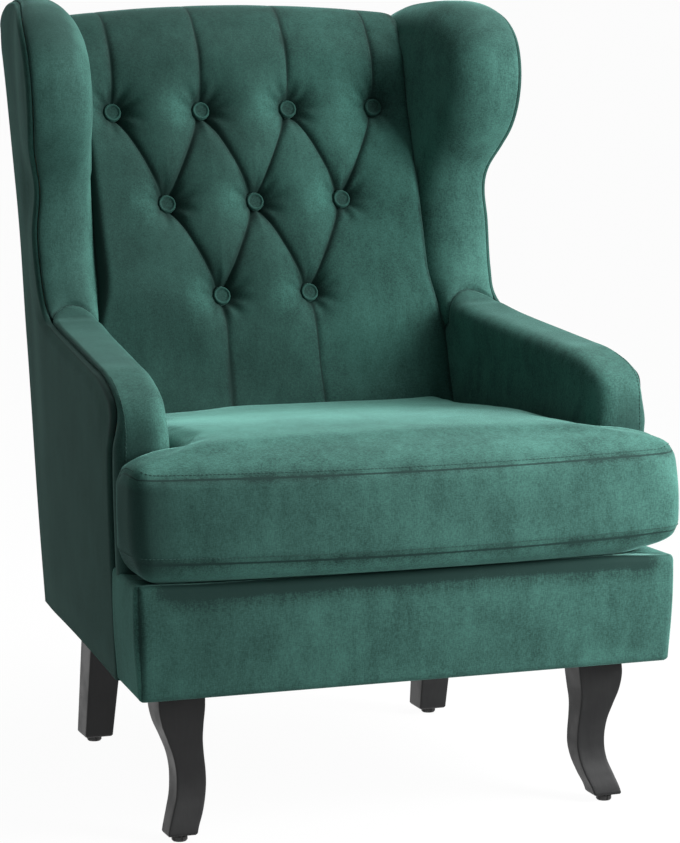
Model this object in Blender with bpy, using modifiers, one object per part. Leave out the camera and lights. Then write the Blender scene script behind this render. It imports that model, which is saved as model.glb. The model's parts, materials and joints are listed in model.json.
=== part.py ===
"""Buttoned wing chair with a loose T-shaped cushion, built as an assembly of separate pieces.

Metres, +Z up, the front towards -Y.  The origin is on the floor under the middle of the chair.
The hardest form is the diamond-tufted back pad, then the S-curved front legs.
"""
import math

import bmesh
import bpy
from mathutils import Matrix, Vector

# Fits
GAP = 0.0004            # between pieces that touch
HOLE_GAP = 0.0005       # around studs and bolts

# Seat base
FRONT_Y = -0.384        # front face of the base
SEAT_DEPTH = 0.517      # from there to the button plane at seat height
BACK_DEPTH = 0.096      # from there to the lower edge of the outside back
BASE_HALF = 0.350       # half width at the front, lower edge
BASE_BOTTOM = 0.191
SIDE_TAPER = 0.0726     # inward run of the sides per metre towards the back
SIDE_LEAN = 0.033       # outward run of the sides per metre of height
BACK_RAKE = 0.2165      # backward run of the outside back per metre of height
COVER = 0.006           # outside covers, with their wadding
BORDER_PROUD = 0.004    # of the front border outside the side planes
CORNER_ROUND = 0.014    # upright front corners of the base

# Seat frame
DUST_THICK = 0.0012
RAIL_HEIGHT = 0.100
RAIL_THICK = 0.025
BLOCK_HEIGHT = 0.060
BLOCK_LEG = 0.120       # length of a corner block along each rail

# Springs and deck
SPRING_COUNT = 5
SPRING_SPACING = 0.095
SPRING_WIRE = 0.0036
SPRING_SWING = 0.021    # half width of the zigzag
SPRING_LOOPS = 22
SPRING_CROWN = 0.010
DECK_THICK = 0.020

# Back frame
POST_DEPTH = 0.030
POST_WIDTH = 0.040
TOP_RAIL_RISE = 0.485   # its top above seat height
TOP_RAIL_HEIGHT = 0.060
LOWER_RAIL_DROP = 0.100 # its underside below seat height
LOWER_RAIL_HEIGHT = 0.060
WEB_THICK = 0.0016
WEB_WIDTH = 0.050
WEB_COUNT = 3
WEB_RISE = 0.040        # middle of the lowest strap above seat height
WEB_SPACING = 0.145
WEB_LAP = 0.018         # of each strap's end onto its post

# Arms
ARM_THICK = 0.066
ARM_FOOT_BACK = 0.145   # distances behind the base front
ARM_NOSE_BACK = 0.0925
ARM_NOSE_RISE = 0.040   # above seat height
ARM_CURVE_DROP = 0.200  # below seat height, where the front edge starts to lean forward
ARM_TOP_BACK = 0.158
ARM_TOP_RISE = 0.099    # above seat height, at the front end of the straight top
ARM_SLOPE = 0.0885      # upward run of the arm top per metre towards the back
ARM_BOARD = 0.020
ARM_EDGE = 0.016        # padding in front of and above the board
ARM_ROUND = 0.016
SEAM_INSET = 0.004      # of the outside covers behind the pads' edges

# Wings
WING_THICK = 0.080
WING_ROOT_RUN = 0.173   # behind the seat depth, where the wing's plane meets the side's plane
WING_SET_IN = 0.004     # of the wing's plane there
WING_SPLAY = 0.108
WING_LEAN = 0.056
WING_NECK_RUN = 0.040   # behind the seat depth
WING_NECK_RISE = 0.130  # of the neck above the arm
WING_NECK_ROUND = 0.045
WING_EAR_AHEAD = 0.025  # of the seat depth
WING_EAR_RISE = 0.415   # above seat height
WING_TOP_RUN = 0.128    # behind the seat depth
WING_TOP_RISE = 0.545   # above seat height
WING_BACK_DROP = 0.040
WING_BOARD = 0.018
WING_EDGE = 0.022
WING_ROUND = 0.022

# Back pad
RECLINE = math.radians(20.3)
COLUMN_PITCH = 0.1275
ROW_PITCH = 0.1324
TOP_ROW_RISE = 0.417    # top button row above seat height, along the pad
BUTTON_ROWS = (4, 3, 2)
PUFF = 0.030            # crown of the pad in front of the button plane
LOW_PUFF = 0.012        # the same behind the cushion
PIT_DEPTH = 0.040
PIT_RADIUS = 0.028
FOLD_DEPTH = 0.009
FOLD_WIDTH = 0.012
PAD_SIDE_ROUND = 0.030
PAD_TOP_ROUND = 0.045
PAD_TOP_RISE = 0.539
PAD_TOP_ARCH = 0.014
PAD_STEPS = 6           # grid steps from one button row to the next

# Buttons
BUTTON_RADIUS = 0.0125
BUTTON_CROWN = 0.0078
BUTTON_EDGE = 0.0016
BUTTON_LIFT = 0.0002

# Seat cushion
CUSHION_FRONT = 0.014   # overhang in front of the base
CUSHION_EAR = 0.008     # overhang of the ears beside the base
CUSHION_SLACK = 0.003   # to the arms and the back pad
BAND_LOW = 0.033        # lower seam above the cushion's underside
BAND_HEIGHT = 0.102
CUSHION_CROWN = 0.038
SEAT_SWELL = 0.0076     # of the cushion's edge above its upper seam, where seat height is taken
CUSHION_BULGE = 0.006
CUSHION_INSET = 0.020
CUSHION_NOTCH = 0.016   # drawing-in of the T's inner corners

# Legs
LEG_SIDE = 0.0625       # middle of each leg's top inside the chair's side
FRONT_LEG_BACK = 0.082
LEG_WIDTH = 0.057       # at the top
LEG_DEPTH = 0.0480
KNEE_OUT = 0.0016       # swell of the outer face at the knee, then its position lower down
ANKLE_OUT = 0.0071
FOOT_OUT = 0.0232
CALF_IN = 0.0253        # inner face, all measured from the middle of the leg's top
ANKLE_IN = 0.0296
FOOT_IN = 0.0125
KNEE_FRONT = 0.0285     # front face
SHIN_FRONT = 0.0248
FOOT_FRONT = 0.0440
CALF_BACK = 0.0216      # rear face; the foot's lies in front of the middle
ANKLE_BACK = 0.0097
FOOT_BACK = -0.0140
LEG_ARRIS = 0.002
REAR_LEG_AHEAD = 0.076  # middle of the leg's top, ahead of the base's rear edge
REAR_LEG_RUN = 0.042    # backward run from top to foot
REAR_TOP_WIDTH = 0.044
REAR_TOP_DEPTH = 0.052
REAR_FOOT_WIDTH = 0.036
REAR_FOOT_DEPTH = 0.042
BOLT_RADIUS = 0.004
BOLT_IN_LEG = 0.034
BOLT_IN_BLOCK = 0.050

# Glides
GLIDE_RADIUS = 0.010
GLIDE_HEAD = 0.0085
GLIDE_STUD = 0.003
GLIDE_STUD_LENGTH = 0.020
GLIDE_NOTCHES = 6
GLIDE_NOTCH = 0.0014

RAIL_BOTTOM = BASE_BOTTOM + DUST_THICK + GAP
RAIL_TOP = RAIL_BOTTOM + RAIL_HEIGHT
DECK_BOTTOM = RAIL_TOP + 2 * GAP + SPRING_WIRE + SPRING_CROWN
DECK_TOP = DECK_BOTTOM + DECK_THICK
SEAT_HEIGHT = DECK_TOP + GAP + BAND_LOW + BAND_HEIGHT + SEAT_SWELL
BASE_DEPTH = SEAT_DEPTH + BACK_DEPTH
TOP_RAIL_TOP = SEAT_HEIGHT + TOP_RAIL_RISE
LOWER_RAIL_BOTTOM = SEAT_HEIGHT - LOWER_RAIL_DROP
ARM_NOSE_Z = SEAT_HEIGHT + ARM_NOSE_RISE
ARM_CURVE_Z = SEAT_HEIGHT - ARM_CURVE_DROP
ARM_TOP_Z = SEAT_HEIGHT + ARM_TOP_RISE
WING_ROOT_BACK = SEAT_DEPTH + WING_ROOT_RUN
WING_NECK_BACK = SEAT_DEPTH + WING_NECK_RUN
WING_EAR_BACK = SEAT_DEPTH - WING_EAR_AHEAD
WING_EAR_Z = SEAT_HEIGHT + WING_EAR_RISE
WING_TOP_BACK = SEAT_DEPTH + WING_TOP_RUN
WING_TOP_Z = SEAT_HEIGHT + WING_TOP_RISE
LEG_TOP = BASE_BOTTOM - GAP
LEG_BOTTOM = GLIDE_HEAD + GAP
REAR_LEG_BACK = BASE_DEPTH - REAR_LEG_AHEAD
SKIN = COVER + GAP      # from an outer plane to the frame behind its cover


def behind(distance):
    """World y of a point the given distance behind the base front."""
    return FRONT_Y + distance


def side_x(y, z):
    """Half width of the chair's side plane."""
    return BASE_HALF - SIDE_TAPER * (y - FRONT_Y) + SIDE_LEAN * (z - BASE_BOTTOM)


def arm_top_z(y):
    """Height of the straight arm top, also of the seam between arm and wing."""
    return ARM_TOP_Z + ARM_SLOPE * (y - behind(ARM_TOP_BACK))


def wing_x(y, z):
    """Half width of the wing's outer plane, splayed and leaning outward from the side plane."""
    root_y = behind(WING_ROOT_BACK)
    root_z = arm_top_z(root_y)
    root_x = side_x(root_y, root_z) - WING_SET_IN
    return root_x - WING_SPLAY * (y - root_y) + WING_LEAN * (z - root_z)


def rear_y(z):
    """The outside back's plane."""
    return behind(BASE_DEPTH) + BACK_RAKE * (z - BASE_BOTTOM)


def frame_y(z):
    """Front face of the back frame, which is a raked slab of even depth."""
    return rear_y(z) - SKIN - POST_DEPTH


def pad_back_y(z):
    """Rear face of everything padded in front of the back frame and its webbing."""
    return frame_y(z) - WEB_THICK - 2 * GAP


def pad_plane_y(z):
    """The plane that the back buttons are drawn down to."""
    return behind(SEAT_DEPTH) + math.tan(RECLINE) * (z - SEAT_HEIGHT)


def lift_wave(t):
    """Smooth step from 0 to 1."""
    t = min(max(t, 0.0), 1.0)
    return (1 - math.cos(math.pi * t)) / 2


def knot_curve(knots, z):
    """Smooth value at height z between (height, value) knots in falling order of height."""
    for (z_high, high), (z_low, low) in zip(knots, knots[1:]):
        if z >= z_low:
            return low + (high - low) * lift_wave((z - z_low) / (z_high - z_low))
    return knots[-1][1]


def collection(name):
    made = bpy.data.collections.new(name)
    bpy.context.scene.collection.children.link(made)
    return made


for old in list(bpy.data.objects):
    bpy.data.objects.remove(old, do_unlink=True)

PARTS = collection("buttoned wing chair")
CUTTERS = collection("cutters")


def material(name, colour, roughness, metallic=0.0):
    made = bpy.data.materials.new(name)
    made.use_nodes = True
    shader = made.node_tree.nodes["Principled BSDF"]
    shader.inputs["Base Color"].default_value = (*colour, 1.0)
    shader.inputs["Roughness"].default_value = roughness
    shader.inputs["Metallic"].default_value = metallic
    return made


VELVET = material("green velvet", (0.045, 0.155, 0.115), 0.85)
BLACK_WOOD = material("black lacquered wood", (0.012, 0.012, 0.012), 0.35)
RAW_WOOD = material("raw hardwood", (0.52, 0.36, 0.20), 0.6)
PLYWOOD = material("birch plywood", (0.62, 0.47, 0.29), 0.6)
STEEL = material("spring steel", (0.45, 0.45, 0.46), 0.35, 1.0)
WEBBING = material("back webbing", (0.09, 0.08, 0.07), 0.9)
LINING = material("black lining cloth", (0.02, 0.02, 0.02), 0.9)
PLASTIC = material("black glide plastic", (0.02, 0.02, 0.02), 0.5)


def link(name, data, surface, place=None):
    """Add a named sub-part."""
    made = bpy.data.objects.new(name, data)
    if surface is not None and not data.materials:
        data.materials.append(surface)
    PARTS.objects.link(made)
    if place is not None:
        made.matrix_world = place
    return made


def mesh_of(name, bm):
    bmesh.ops.recalc_face_normals(bm, faces=bm.faces[:])
    data = bpy.data.meshes.new(name)
    bm.to_mesh(data)
    bm.free()
    return data


def outline_bm(first, second):
    """Extrude one closed outline of points and move the copy onto a second one."""
    bm = bmesh.new()
    start = [bm.verts.new(point) for point in first]
    face = bm.faces.new(start)
    target = {tuple(v.co): Vector(point) for v, point in zip(start, second)}
    made = bmesh.ops.extrude_face_region(bm, geom=[face], use_keep_orig=True)
    for item in made["geom"]:
        if isinstance(item, bmesh.types.BMVert):
            item.co = target[tuple(item.co)]
    return bm


def next_ring(bm, faces, first):
    """Extrude faces once more; all but the first start stays open behind the new faces."""
    made = bmesh.ops.extrude_face_region(bm, geom=faces, use_keep_orig=True)
    if not first:
        bmesh.ops.delete(bm, geom=faces, context="FACES")
    new_faces = [item for item in made["geom"] if isinstance(item, bmesh.types.BMFace)]
    new_verts = [item for item in made["geom"] if isinstance(item, bmesh.types.BMVert)]
    return new_faces, new_verts


def solid(name, first, second, surface):
    """A straight-sided solid between two outlines of equally many points."""
    return link(name, mesh_of(name, outline_bm(first, second)), surface)


def as_cutter(made):
    made.hide_render = True
    made.display_type = "WIRE"
    PARTS.objects.unlink(made)
    CUTTERS.objects.link(made)
    return made


def cut(target, cutter):
    step = target.modifiers.new("cut by " + cutter.name, "BOOLEAN")
    step.operation = "DIFFERENCE"
    step.solver = "EXACT"
    step.object = cutter


def rod_cutter(name, x, y, low, high, radius):
    """An upright round cutter."""
    bm = bmesh.new()
    bmesh.ops.create_cone(bm, cap_ends=True, segments=16, radius1=radius, radius2=radius, depth=high - low)
    bmesh.ops.translate(bm, verts=bm.verts[:], vec=(x, y, (low + high) / 2))
    return as_cutter(link(name, mesh_of(name, bm), None))


def bevel(target, width, segments, weighted=False):
    step = target.modifiers.new("round", "BEVEL")
    step.width = width
    step.segments = segments
    step.use_clamp_overlap = False
    if weighted:
        step.limit_method = "WEIGHT"
    else:
        step.limit_method = "ANGLE"
        step.angle_limit = math.radians(40)


def side_loops(points, plane, inner, outer, side):
    """Two outlines in a side's plane, the given depths inside it, for a list of (y, z)."""
    first = [(side * (plane(y, z) - inner), y, z) for y, z in points]
    second = [(side * (plane(y, z) - outer), y, z) for y, z in points]
    return first, second


def side_solid(name, points, plane, inner, outer, side, surface):
    first, second = side_loops(points, plane, inner, outer, side)
    return solid(name, first, second, surface)


def padded_side(name, points, soft, plane, inner, outer, side, width):
    """A padded slab in a side's plane; the edges along the first `soft` points are rounded."""
    first, second = side_loops(points, plane, inner, outer, side)
    bm = outline_bm(first, second)
    weight = bm.edges.layers.float.new("bevel_weight_edge")
    inside = {tuple(Vector(p)) for p in first[:soft]}
    outside = {tuple(Vector(p)) for p in second[:soft]}
    for edge in bm.edges:
        ends = [tuple(v.co) for v in edge.verts]
        if all(end in inside for end in ends):
            edge[weight] = 1.0
        elif all(end in outside for end in ends):
            edge[weight] = 0.3
    made = link(name, mesh_of(name, bm), VELVET)
    bevel(made, width, 3, weighted=True)
    return made


def arm_front_y(z, inset=0.0):
    t = (z - ARM_CURVE_Z) / (ARM_NOSE_Z - ARM_CURVE_Z)
    return behind(ARM_FOOT_BACK - (ARM_FOOT_BACK - ARM_NOSE_BACK) * lift_wave(t)) + inset


def arm_curve(low, back, inset=0.0):
    """Arm outline as (y, z): up the front from `low`, round the nose, along the top to y = `back`."""
    points = [(arm_front_y(low, inset), low)]
    levels = 5
    for k in range(1, levels):
        z = ARM_CURVE_Z + (ARM_NOSE_Z - ARM_CURVE_Z) * k / levels
        if z > low + SEAM_INSET:
            points.append((arm_front_y(z, inset), z))
    middle_y = behind(ARM_TOP_BACK)
    reach = ARM_TOP_BACK - ARM_NOSE_BACK - inset
    height = ARM_TOP_Z - ARM_NOSE_Z - inset
    turns = 6
    for k in range(turns + 1):
        angle = math.pi / 2 * k / turns
        points.append((middle_y - reach * math.cos(angle), ARM_NOSE_Z + height * math.sin(angle)))
    points.append((back, arm_top_z(back) - inset))
    return points


def wing_curve(inset=0.0):
    """Wing front as (y, z): fillet from the arm, neck, ear, then a quarter ellipse to the top."""
    neck = behind(WING_NECK_BACK) + inset
    ear = behind(WING_EAR_BACK) + inset
    fillet = WING_NECK_ROUND
    start_z = arm_top_z(neck - fillet) + GAP
    points = []
    steps = 4
    for k in range(steps):
        angle = math.pi / 2 * k / steps
        rise = WING_NECK_RISE * (1 - math.cos(angle))
        points.append((neck - fillet * (1 - math.sin(angle)), start_z + rise))
    neck_z = start_z + WING_NECK_RISE
    steps = 6
    for k in range(steps):
        z = neck_z + (WING_EAR_Z - neck_z) * k / steps
        points.append((neck + (ear - neck) * lift_wave(k / steps), z))
    top_y = behind(WING_TOP_BACK)
    steps = 7
    for k in range(steps + 1):
        angle = math.pi / 2 * k / steps
        y = top_y - (top_y - ear) * math.cos(angle)
        points.append((y, WING_EAR_Z + (WING_TOP_Z - inset - WING_EAR_Z) * math.sin(angle)))
    return points


def wing_back(limit, inset=0.0):
    """Rear of a wing outline: a quarter ellipse down to the given rear plane."""
    top_y = behind(WING_TOP_BACK)
    low_z = WING_TOP_Z - WING_BACK_DROP - inset
    reach = limit(low_z) - top_y
    points = []
    steps = 4
    for k in range(1, steps + 1):
        angle = math.pi / 2 * k / steps
        points.append((top_y + reach * math.sin(angle), low_z + WING_BACK_DROP * math.cos(angle)))
    return points


def seam_end(limit, inset=0.0):
    """Where the arm seam, lowered by the inset, meets a rear plane y = limit(z)."""
    y = limit(ARM_TOP_Z)
    for _ in range(20):
        y = limit(arm_top_z(y) - inset)
    return y


def inner_rear(z):
    """Rear plane for pieces that stop in front of the outside back cover."""
    return rear_y(z) - SKIN


def frame_front(z):
    return frame_y(z) - GAP


def post_outer(z):
    """Outer face of a back post: a straight stick that stays inside both the side and wing planes."""
    def limit(level):
        y = rear_y(level)
        return min(side_x(y, level), wing_x(y, level)) - SKIN

    low = limit(RAIL_BOTTOM)
    high = limit(TOP_RAIL_TOP)
    span = TOP_RAIL_TOP - RAIL_BOTTOM
    seam = arm_top_z(seam_end(rear_y))
    over = low + (high - low) * (seam - RAIL_BOTTOM) / span - limit(seam)
    return low + (high - low) * (z - RAIL_BOTTOM) / span - max(over, 0.0)


def post_inner(z):
    return post_outer(z) - POST_WIDTH


def slab_piece(name, low, high, left, right, front, rear, surface):
    """A straight piece between two heights; each limit is a function of height."""
    def ring(z):
        x0, x1, y0, y1 = left(z), right(z), front(z), rear(z)
        return [(x0, y0, z), (x1, y0, z), (x1, y1, z), (x0, y1, z)]

    return solid(name, ring(low), ring(high), surface)


def rail_between_posts(name, low, high):
    def right(z):
        return post_inner(z) - GAP

    def left(z):
        return -right(z)

    return slab_piece(name, low, high, left, right, frame_y, inner_rear, RAW_WOOD)


def rail_outer(y, z):
    return side_x(y, z) - SKIN


def rail_inner(y, z):
    return rail_outer(y, z) - RAIL_THICK


RAIL_FRONT = FRONT_Y + SKIN
RAIL_BACK = RAIL_FRONT + RAIL_THICK


def mirrored(right):
    """Close an outline whose right half is given, front first, by its left half."""
    return right + [(-x, y, z) for x, y, z in reversed(right)]


def cut_corner(x, y, z):
    """Front right corner of a piece behind the border, taken off to suit the border's round corner."""
    short = CORNER_ROUND / 2
    return [(x - short, y, z), (side_x(y + short, z) - side_x(y, z) + x, y + short, z)]


def seat_frame():
    def ring(z):
        corner = cut_corner(rail_outer(RAIL_FRONT, z), RAIL_FRONT, z)
        return mirrored(corner + [(rail_outer(RAIL_BACK, z), RAIL_BACK, z)])

    solid("front_rail", ring(RAIL_BOTTOM), ring(RAIL_TOP), RAW_WOOD)
    rail_between_posts("back_rail", RAIL_BOTTOM, RAIL_TOP)
    for label, side in (("left", -1), ("right", 1)):
        def side_ring(z):
            front = RAIL_BACK + GAP
            rear = frame_y(z) - GAP
            return [(side * rail_outer(front, z), front, z), (side * rail_outer(rear, z), rear, z),
                    (side * rail_inner(rear, z), rear, z), (side * rail_inner(front, z), front, z)]

        solid("side_rail_" + label, side_ring(RAIL_BOTTOM), side_ring(RAIL_TOP), RAW_WOOD)


def corner_block(name, side, front):
    """A triangular block glued into a corner of the seat frame."""
    def ring(z):
        if front:
            corner_y = RAIL_BACK + GAP
            far_y = corner_y + BLOCK_LEG
        else:
            corner_y = frame_y(RAIL_BOTTOM) - GAP
            far_y = corner_y - BLOCK_LEG
        corner_x = rail_inner(corner_y, z) - GAP
        far_x = rail_inner(far_y, z) - GAP
        return [(side * corner_x, corner_y, z), (side * (corner_x - BLOCK_LEG), corner_y, z),
                (side * far_x, far_y, z)]

    return solid(name, ring(RAIL_BOTTOM), ring(RAIL_BOTTOM + BLOCK_HEIGHT), RAW_WOOD)


def back_frame():
    for label, side in (("left", -1), ("right", 1)):
        def outer(z):
            return side * post_outer(z)

        def inner(z):
            return side * post_inner(z)

        slab_piece("back_post_" + label, RAIL_BOTTOM, TOP_RAIL_TOP, inner, outer, frame_y, inner_rear,
                   RAW_WOOD)
    rail_between_posts("back_top_rail", TOP_RAIL_TOP - TOP_RAIL_HEIGHT, TOP_RAIL_TOP)
    rail_between_posts("back_lower_rail", LOWER_RAIL_BOTTOM, LOWER_RAIL_BOTTOM + LOWER_RAIL_HEIGHT)

    def web_rear(z):
        return frame_y(z) - GAP

    def web_front(z):
        return web_rear(z) - WEB_THICK

    for number in range(1, WEB_COUNT + 1):
        level = SEAT_HEIGHT + WEB_RISE + WEB_SPACING * (number - 1)

        def right(z):
            return post_inner(z) + WEB_LAP

        def left(z):
            return -right(z)

        slab_piece("back_webbing_%d" % number, level - WEB_WIDTH / 2, level + WEB_WIDTH / 2, left, right,
                   web_front, web_rear, WEBBING)


def seat_springs():
    """Sinuous springs: flat zigzag wires, slightly crowned, from front rail to back rail."""
    start = RAIL_FRONT + RAIL_THICK / 2
    end = frame_y(RAIL_TOP) + POST_DEPTH / 2
    low = RAIL_TOP + GAP + SPRING_WIRE / 2
    for number in range(SPRING_COUNT):
        middle = SPRING_SPACING * (number - (SPRING_COUNT - 1) / 2)
        points = [(middle, start, low)]
        for k in range(SPRING_LOOPS):
            swing = SPRING_SWING * (1 if k % 2 else -1)
            for t in ((k + 0.8) / (SPRING_LOOPS + 1), (k + 1.2) / (SPRING_LOOPS + 1)):
                crown = SPRING_CROWN * math.sin(math.pi * t)
                points.append((middle + swing, start + (end - start) * t, low + crown))
        points.append((middle, end, low))
        name = "seat_spring_%d" % (number + 1)
        curve = bpy.data.curves.new(name, "CURVE")
        curve.dimensions = "3D"
        curve.bevel_depth = SPRING_WIRE / 2
        curve.bevel_resolution = 0
        curve.use_fill_caps = True
        spline = curve.splines.new("POLY")
        spline.points.add(len(points) - 1)
        for point, place in zip(spline.points, points):
            point.co = (*place, 1.0)
        link(name, curve, STEEL)


def seat_deck():
    """T-shaped padded deck on the springs."""
    front = FRONT_Y + SKIN
    ear_back = arm_front_y(DECK_TOP) - 2 * GAP
    rear = pad_back_y(DECK_BOTTOM)

    def ring(z):
        def wide(y):
            return side_x(y, DECK_BOTTOM) - SKIN

        def narrow(y):
            return side_x(y, DECK_BOTTOM) - ARM_THICK - GAP

        corner = cut_corner(wide(front), front, z)
        return mirrored(corner + [(wide(ear_back), ear_back, z), (narrow(ear_back), ear_back, z),
                                  (narrow(rear), rear, z)])

    solid("seat_deck", ring(DECK_BOTTOM), ring(DECK_TOP), LINING)


def dust_cover(bolts):
    front = FRONT_Y + SKIN
    rear = rear_y(BASE_BOTTOM) - SKIN

    def ring(z):
        wide = side_x(front, BASE_BOTTOM) - SKIN
        narrow = side_x(rear, BASE_BOTTOM) - SKIN
        return mirrored(cut_corner(wide, front, z) + [(narrow, rear, z)])

    made = solid("dust_cover", ring(BASE_BOTTOM), ring(BASE_BOTTOM + DUST_THICK), LINING)
    for bolt in bolts:
        cut(made, bolt)


def front_border():
    """The front rail's cover: one strip round the front and back along both sides to the arms."""
    top = DECK_TOP - 2 * GAP
    turns = 4

    def half_path(z):
        end = arm_front_y(z, SEAM_INSET) - GAP
        front = FRONT_Y - BORDER_PROUD
        corner_x = side_x(front, z) + BORDER_PROUD
        points = [(side_x(end, z) + BORDER_PROUD, end, z)]
        for k in range(turns + 1):
            angle = math.pi / 2 * k / turns
            points.append((corner_x - CORNER_ROUND * (1 - math.cos(angle)),
                           front + CORNER_ROUND * (1 - math.sin(angle)), z))
        return points

    def path(z):
        return mirrored(half_path(z))

    bm = bmesh.new()
    low = [bm.verts.new(point) for point in path(BASE_BOTTOM)]
    edges = [bm.edges.new(pair) for pair in zip(low, low[1:])]
    raised = bmesh.ops.extrude_edge_only(bm, edges=edges)
    target = {tuple(v.co): Vector(point) for v, point in zip(low, path(top))}
    for item in raised["geom"]:
        if isinstance(item, bmesh.types.BMVert):
            item.co = target[tuple(item.co)]
    bm.normal_update()
    foremost = min(bm.faces, key=lambda face: face.calc_center_median().y)
    if foremost.normal.y > 0:
        bmesh.ops.reverse_faces(bm, faces=bm.faces[:])
    data = bpy.data.meshes.new("front_border")
    bm.to_mesh(data)
    bm.free()
    made = link("front_border", data, VELVET)
    shell = made.modifiers.new("thickness", "SOLIDIFY")
    shell.thickness = COVER + BORDER_PROUD
    shell.offset = -1.0
    shell.use_even_offset = True


def frame_zone():
    """Cutter that clears the pads from the back frame, up to just above its top rail."""
    low = BASE_BOTTOM
    high = TOP_RAIL_TOP + GAP
    points = [(pad_back_y(low), low), (pad_back_y(high), high), (rear_y(high) + COVER, high),
              (rear_y(high) + COVER, low)]
    wide = BASE_HALF + COVER
    made = solid("frame zone", [(-wide, y, z) for y, z in points], [(wide, y, z) for y, z in points], None)
    return as_cutter(made)


def arms(zone):
    for label, side in (("left", -1), ("right", 1)):
        low = RAIL_TOP + GAP
        back = seam_end(frame_front, ARM_EDGE)
        board = arm_curve(low, back, ARM_EDGE) + [(frame_front(low), low)]
        side_solid("arm_board_" + label, board, side_x, SKIN + ARM_BOARD, SKIN, side, PLYWOOD)
        far = back + POST_DEPTH
        room = arm_curve(low - RAIL_THICK, far, ARM_EDGE - GAP) + [(far, low - RAIL_THICK)]
        depth = SKIN + ARM_BOARD + GAP
        slot = as_cutter(side_solid("arm slot " + label, room, side_x, depth, -COVER, side, None))
        curve = arm_curve(low, far)
        outline = curve + [(far, low)]
        pad = padded_side("arm_pad_" + label, outline, len(curve), side_x, ARM_THICK, SKIN, side, ARM_ROUND)
        cut(pad, slot)
        cut(pad, zone)
        end = seam_end(inner_rear)
        wing_y = wing_curve()[0][0]
        outline = arm_curve(BASE_BOTTOM, wing_y - WING_EDGE, SEAM_INSET)
        outline += [(wing_y, arm_top_z(wing_y)), (end, arm_top_z(end))]
        outline += [(inner_rear(BASE_BOTTOM), BASE_BOTTOM)]
        side_solid("outside_arm_" + label, outline, side_x, COVER, 0.0, side, VELVET)


def wings(zone):
    for label, side in (("left", -1), ("right", 1)):
        end = seam_end(frame_front)
        top = WING_TOP_Z - WING_EDGE
        board = wing_curve(WING_EDGE) + [(frame_front(top), top), (end, arm_top_z(end) + GAP)]
        side_solid("wing_board_" + label, board, wing_x, SKIN + WING_BOARD, SKIN, side, PLYWOOD)
        far = end + POST_DEPTH
        front = wing_curve(WING_EDGE - GAP)
        start_y, start_z = front[0]
        drop = RAIL_THICK
        room = [(start_y, start_z - drop)] + front + [(frame_front(top) + POST_DEPTH / 2, top + GAP),
                                                      (far, arm_top_z(far) - drop)]
        depth = SKIN + WING_BOARD + GAP
        slot = as_cutter(side_solid("wing slot " + label, room, wing_x, depth, -COVER, side, None))
        front = wing_curve() + wing_back(inner_rear)
        end = seam_end(inner_rear)
        outline = front + [(end, arm_top_z(end) + GAP)]
        pad = padded_side("wing_pad_" + label, outline, len(front), wing_x, WING_THICK, SKIN, side,
                          WING_ROUND)
        cut(pad, slot)
        cut(pad, zone)
        outline = wing_curve(SEAM_INSET) + wing_back(inner_rear, SEAM_INSET) + outline[-1:]
        side_solid("outside_wing_" + label, outline, wing_x, COVER, 0.0, side, VELVET)


def outside_back():
    """Raked rear cover from the base's lower edge to the arched top, across both sides."""
    seam = arm_top_z(seam_end(rear_y))
    top = WING_TOP_Z - WING_BACK_DROP
    edge = []
    for z in (BASE_BOTTOM, seam, top):
        y = rear_y(z)
        edge.append((min(side_x(y, z), wing_x(y, z)) if z < top else wing_x(y, z), z))
    right = edge + [(pad_half(rear_y(top), top), top + WING_BACK_DROP / 3)]
    outline = right + [(-x, z) for x, z in reversed(right)]
    solid("outside_back", [(x, rear_y(z) - COVER, z) for x, z in outline],
          [(x, rear_y(z), z) for x, z in outline], VELVET)


def button_places():
    """(u, v) of every button in the pad plane: u across, v up the pad from seat height."""
    places = []
    for row, count in enumerate(BUTTON_ROWS):
        v = TOP_ROW_RISE - row * ROW_PITCH
        places.extend((COLUMN_PITCH * (k - (count - 1) / 2), v) for k in range(count))
    return places


def fold_lines(places):
    """Sewn folds: between neighbours in adjoining rows, and straight from the end rows."""
    lines = []
    for u, v in places:
        for other_u, other_v in places:
            if 0 < v - other_v < 1.5 * ROW_PITCH and abs(u - other_u) < COLUMN_PITCH:
                lines.append((u, v, other_u, other_v))
    last_v = TOP_ROW_RISE - (len(BUTTON_ROWS) - 1) * ROW_PITCH
    for u, v in places:
        if v == TOP_ROW_RISE:
            lines.append((u, v, u, v + 2 * ROW_PITCH))
        if abs(v - last_v) < GAP:
            lines.append((u, v, u, v - 3 * ROW_PITCH))
    return lines


def line_distance(u, v, line):
    a_u, a_v, b_u, b_v = line
    run_u = b_u - a_u
    run_v = b_v - a_v
    t = ((u - a_u) * run_u + (v - a_v) * run_v) / (run_u * run_u + run_v * run_v)
    t = min(max(t, 0.0), 1.0)
    return math.hypot(u - a_u - t * run_u, v - a_v - t * run_v)


def pad_point(u, v, h):
    """World point of pad coordinates: across, up the pad, and out of the button plane."""
    y = behind(SEAT_DEPTH) + v * math.sin(RECLINE) - h * math.cos(RECLINE)
    z = SEAT_HEIGHT + v * math.cos(RECLINE) + h * math.sin(RECLINE)
    return Vector((u, y, z))


def pad_half(y, z):
    """Half width of the back pad: inside the wings above the arm seam, inside the arms below."""
    seam = arm_top_z(y)
    wing = wing_x(y, max(z, seam)) - WING_THICK
    arm = side_x(y, z) - ARM_THICK
    below = seam - z - 1.2 * ROW_PITCH / PAD_STEPS
    blend = min(max(below / ARM_ROUND / 3, 0.0), 1.0)
    return min(arm, wing + (arm - wing) * blend) - 2 * GAP


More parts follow.
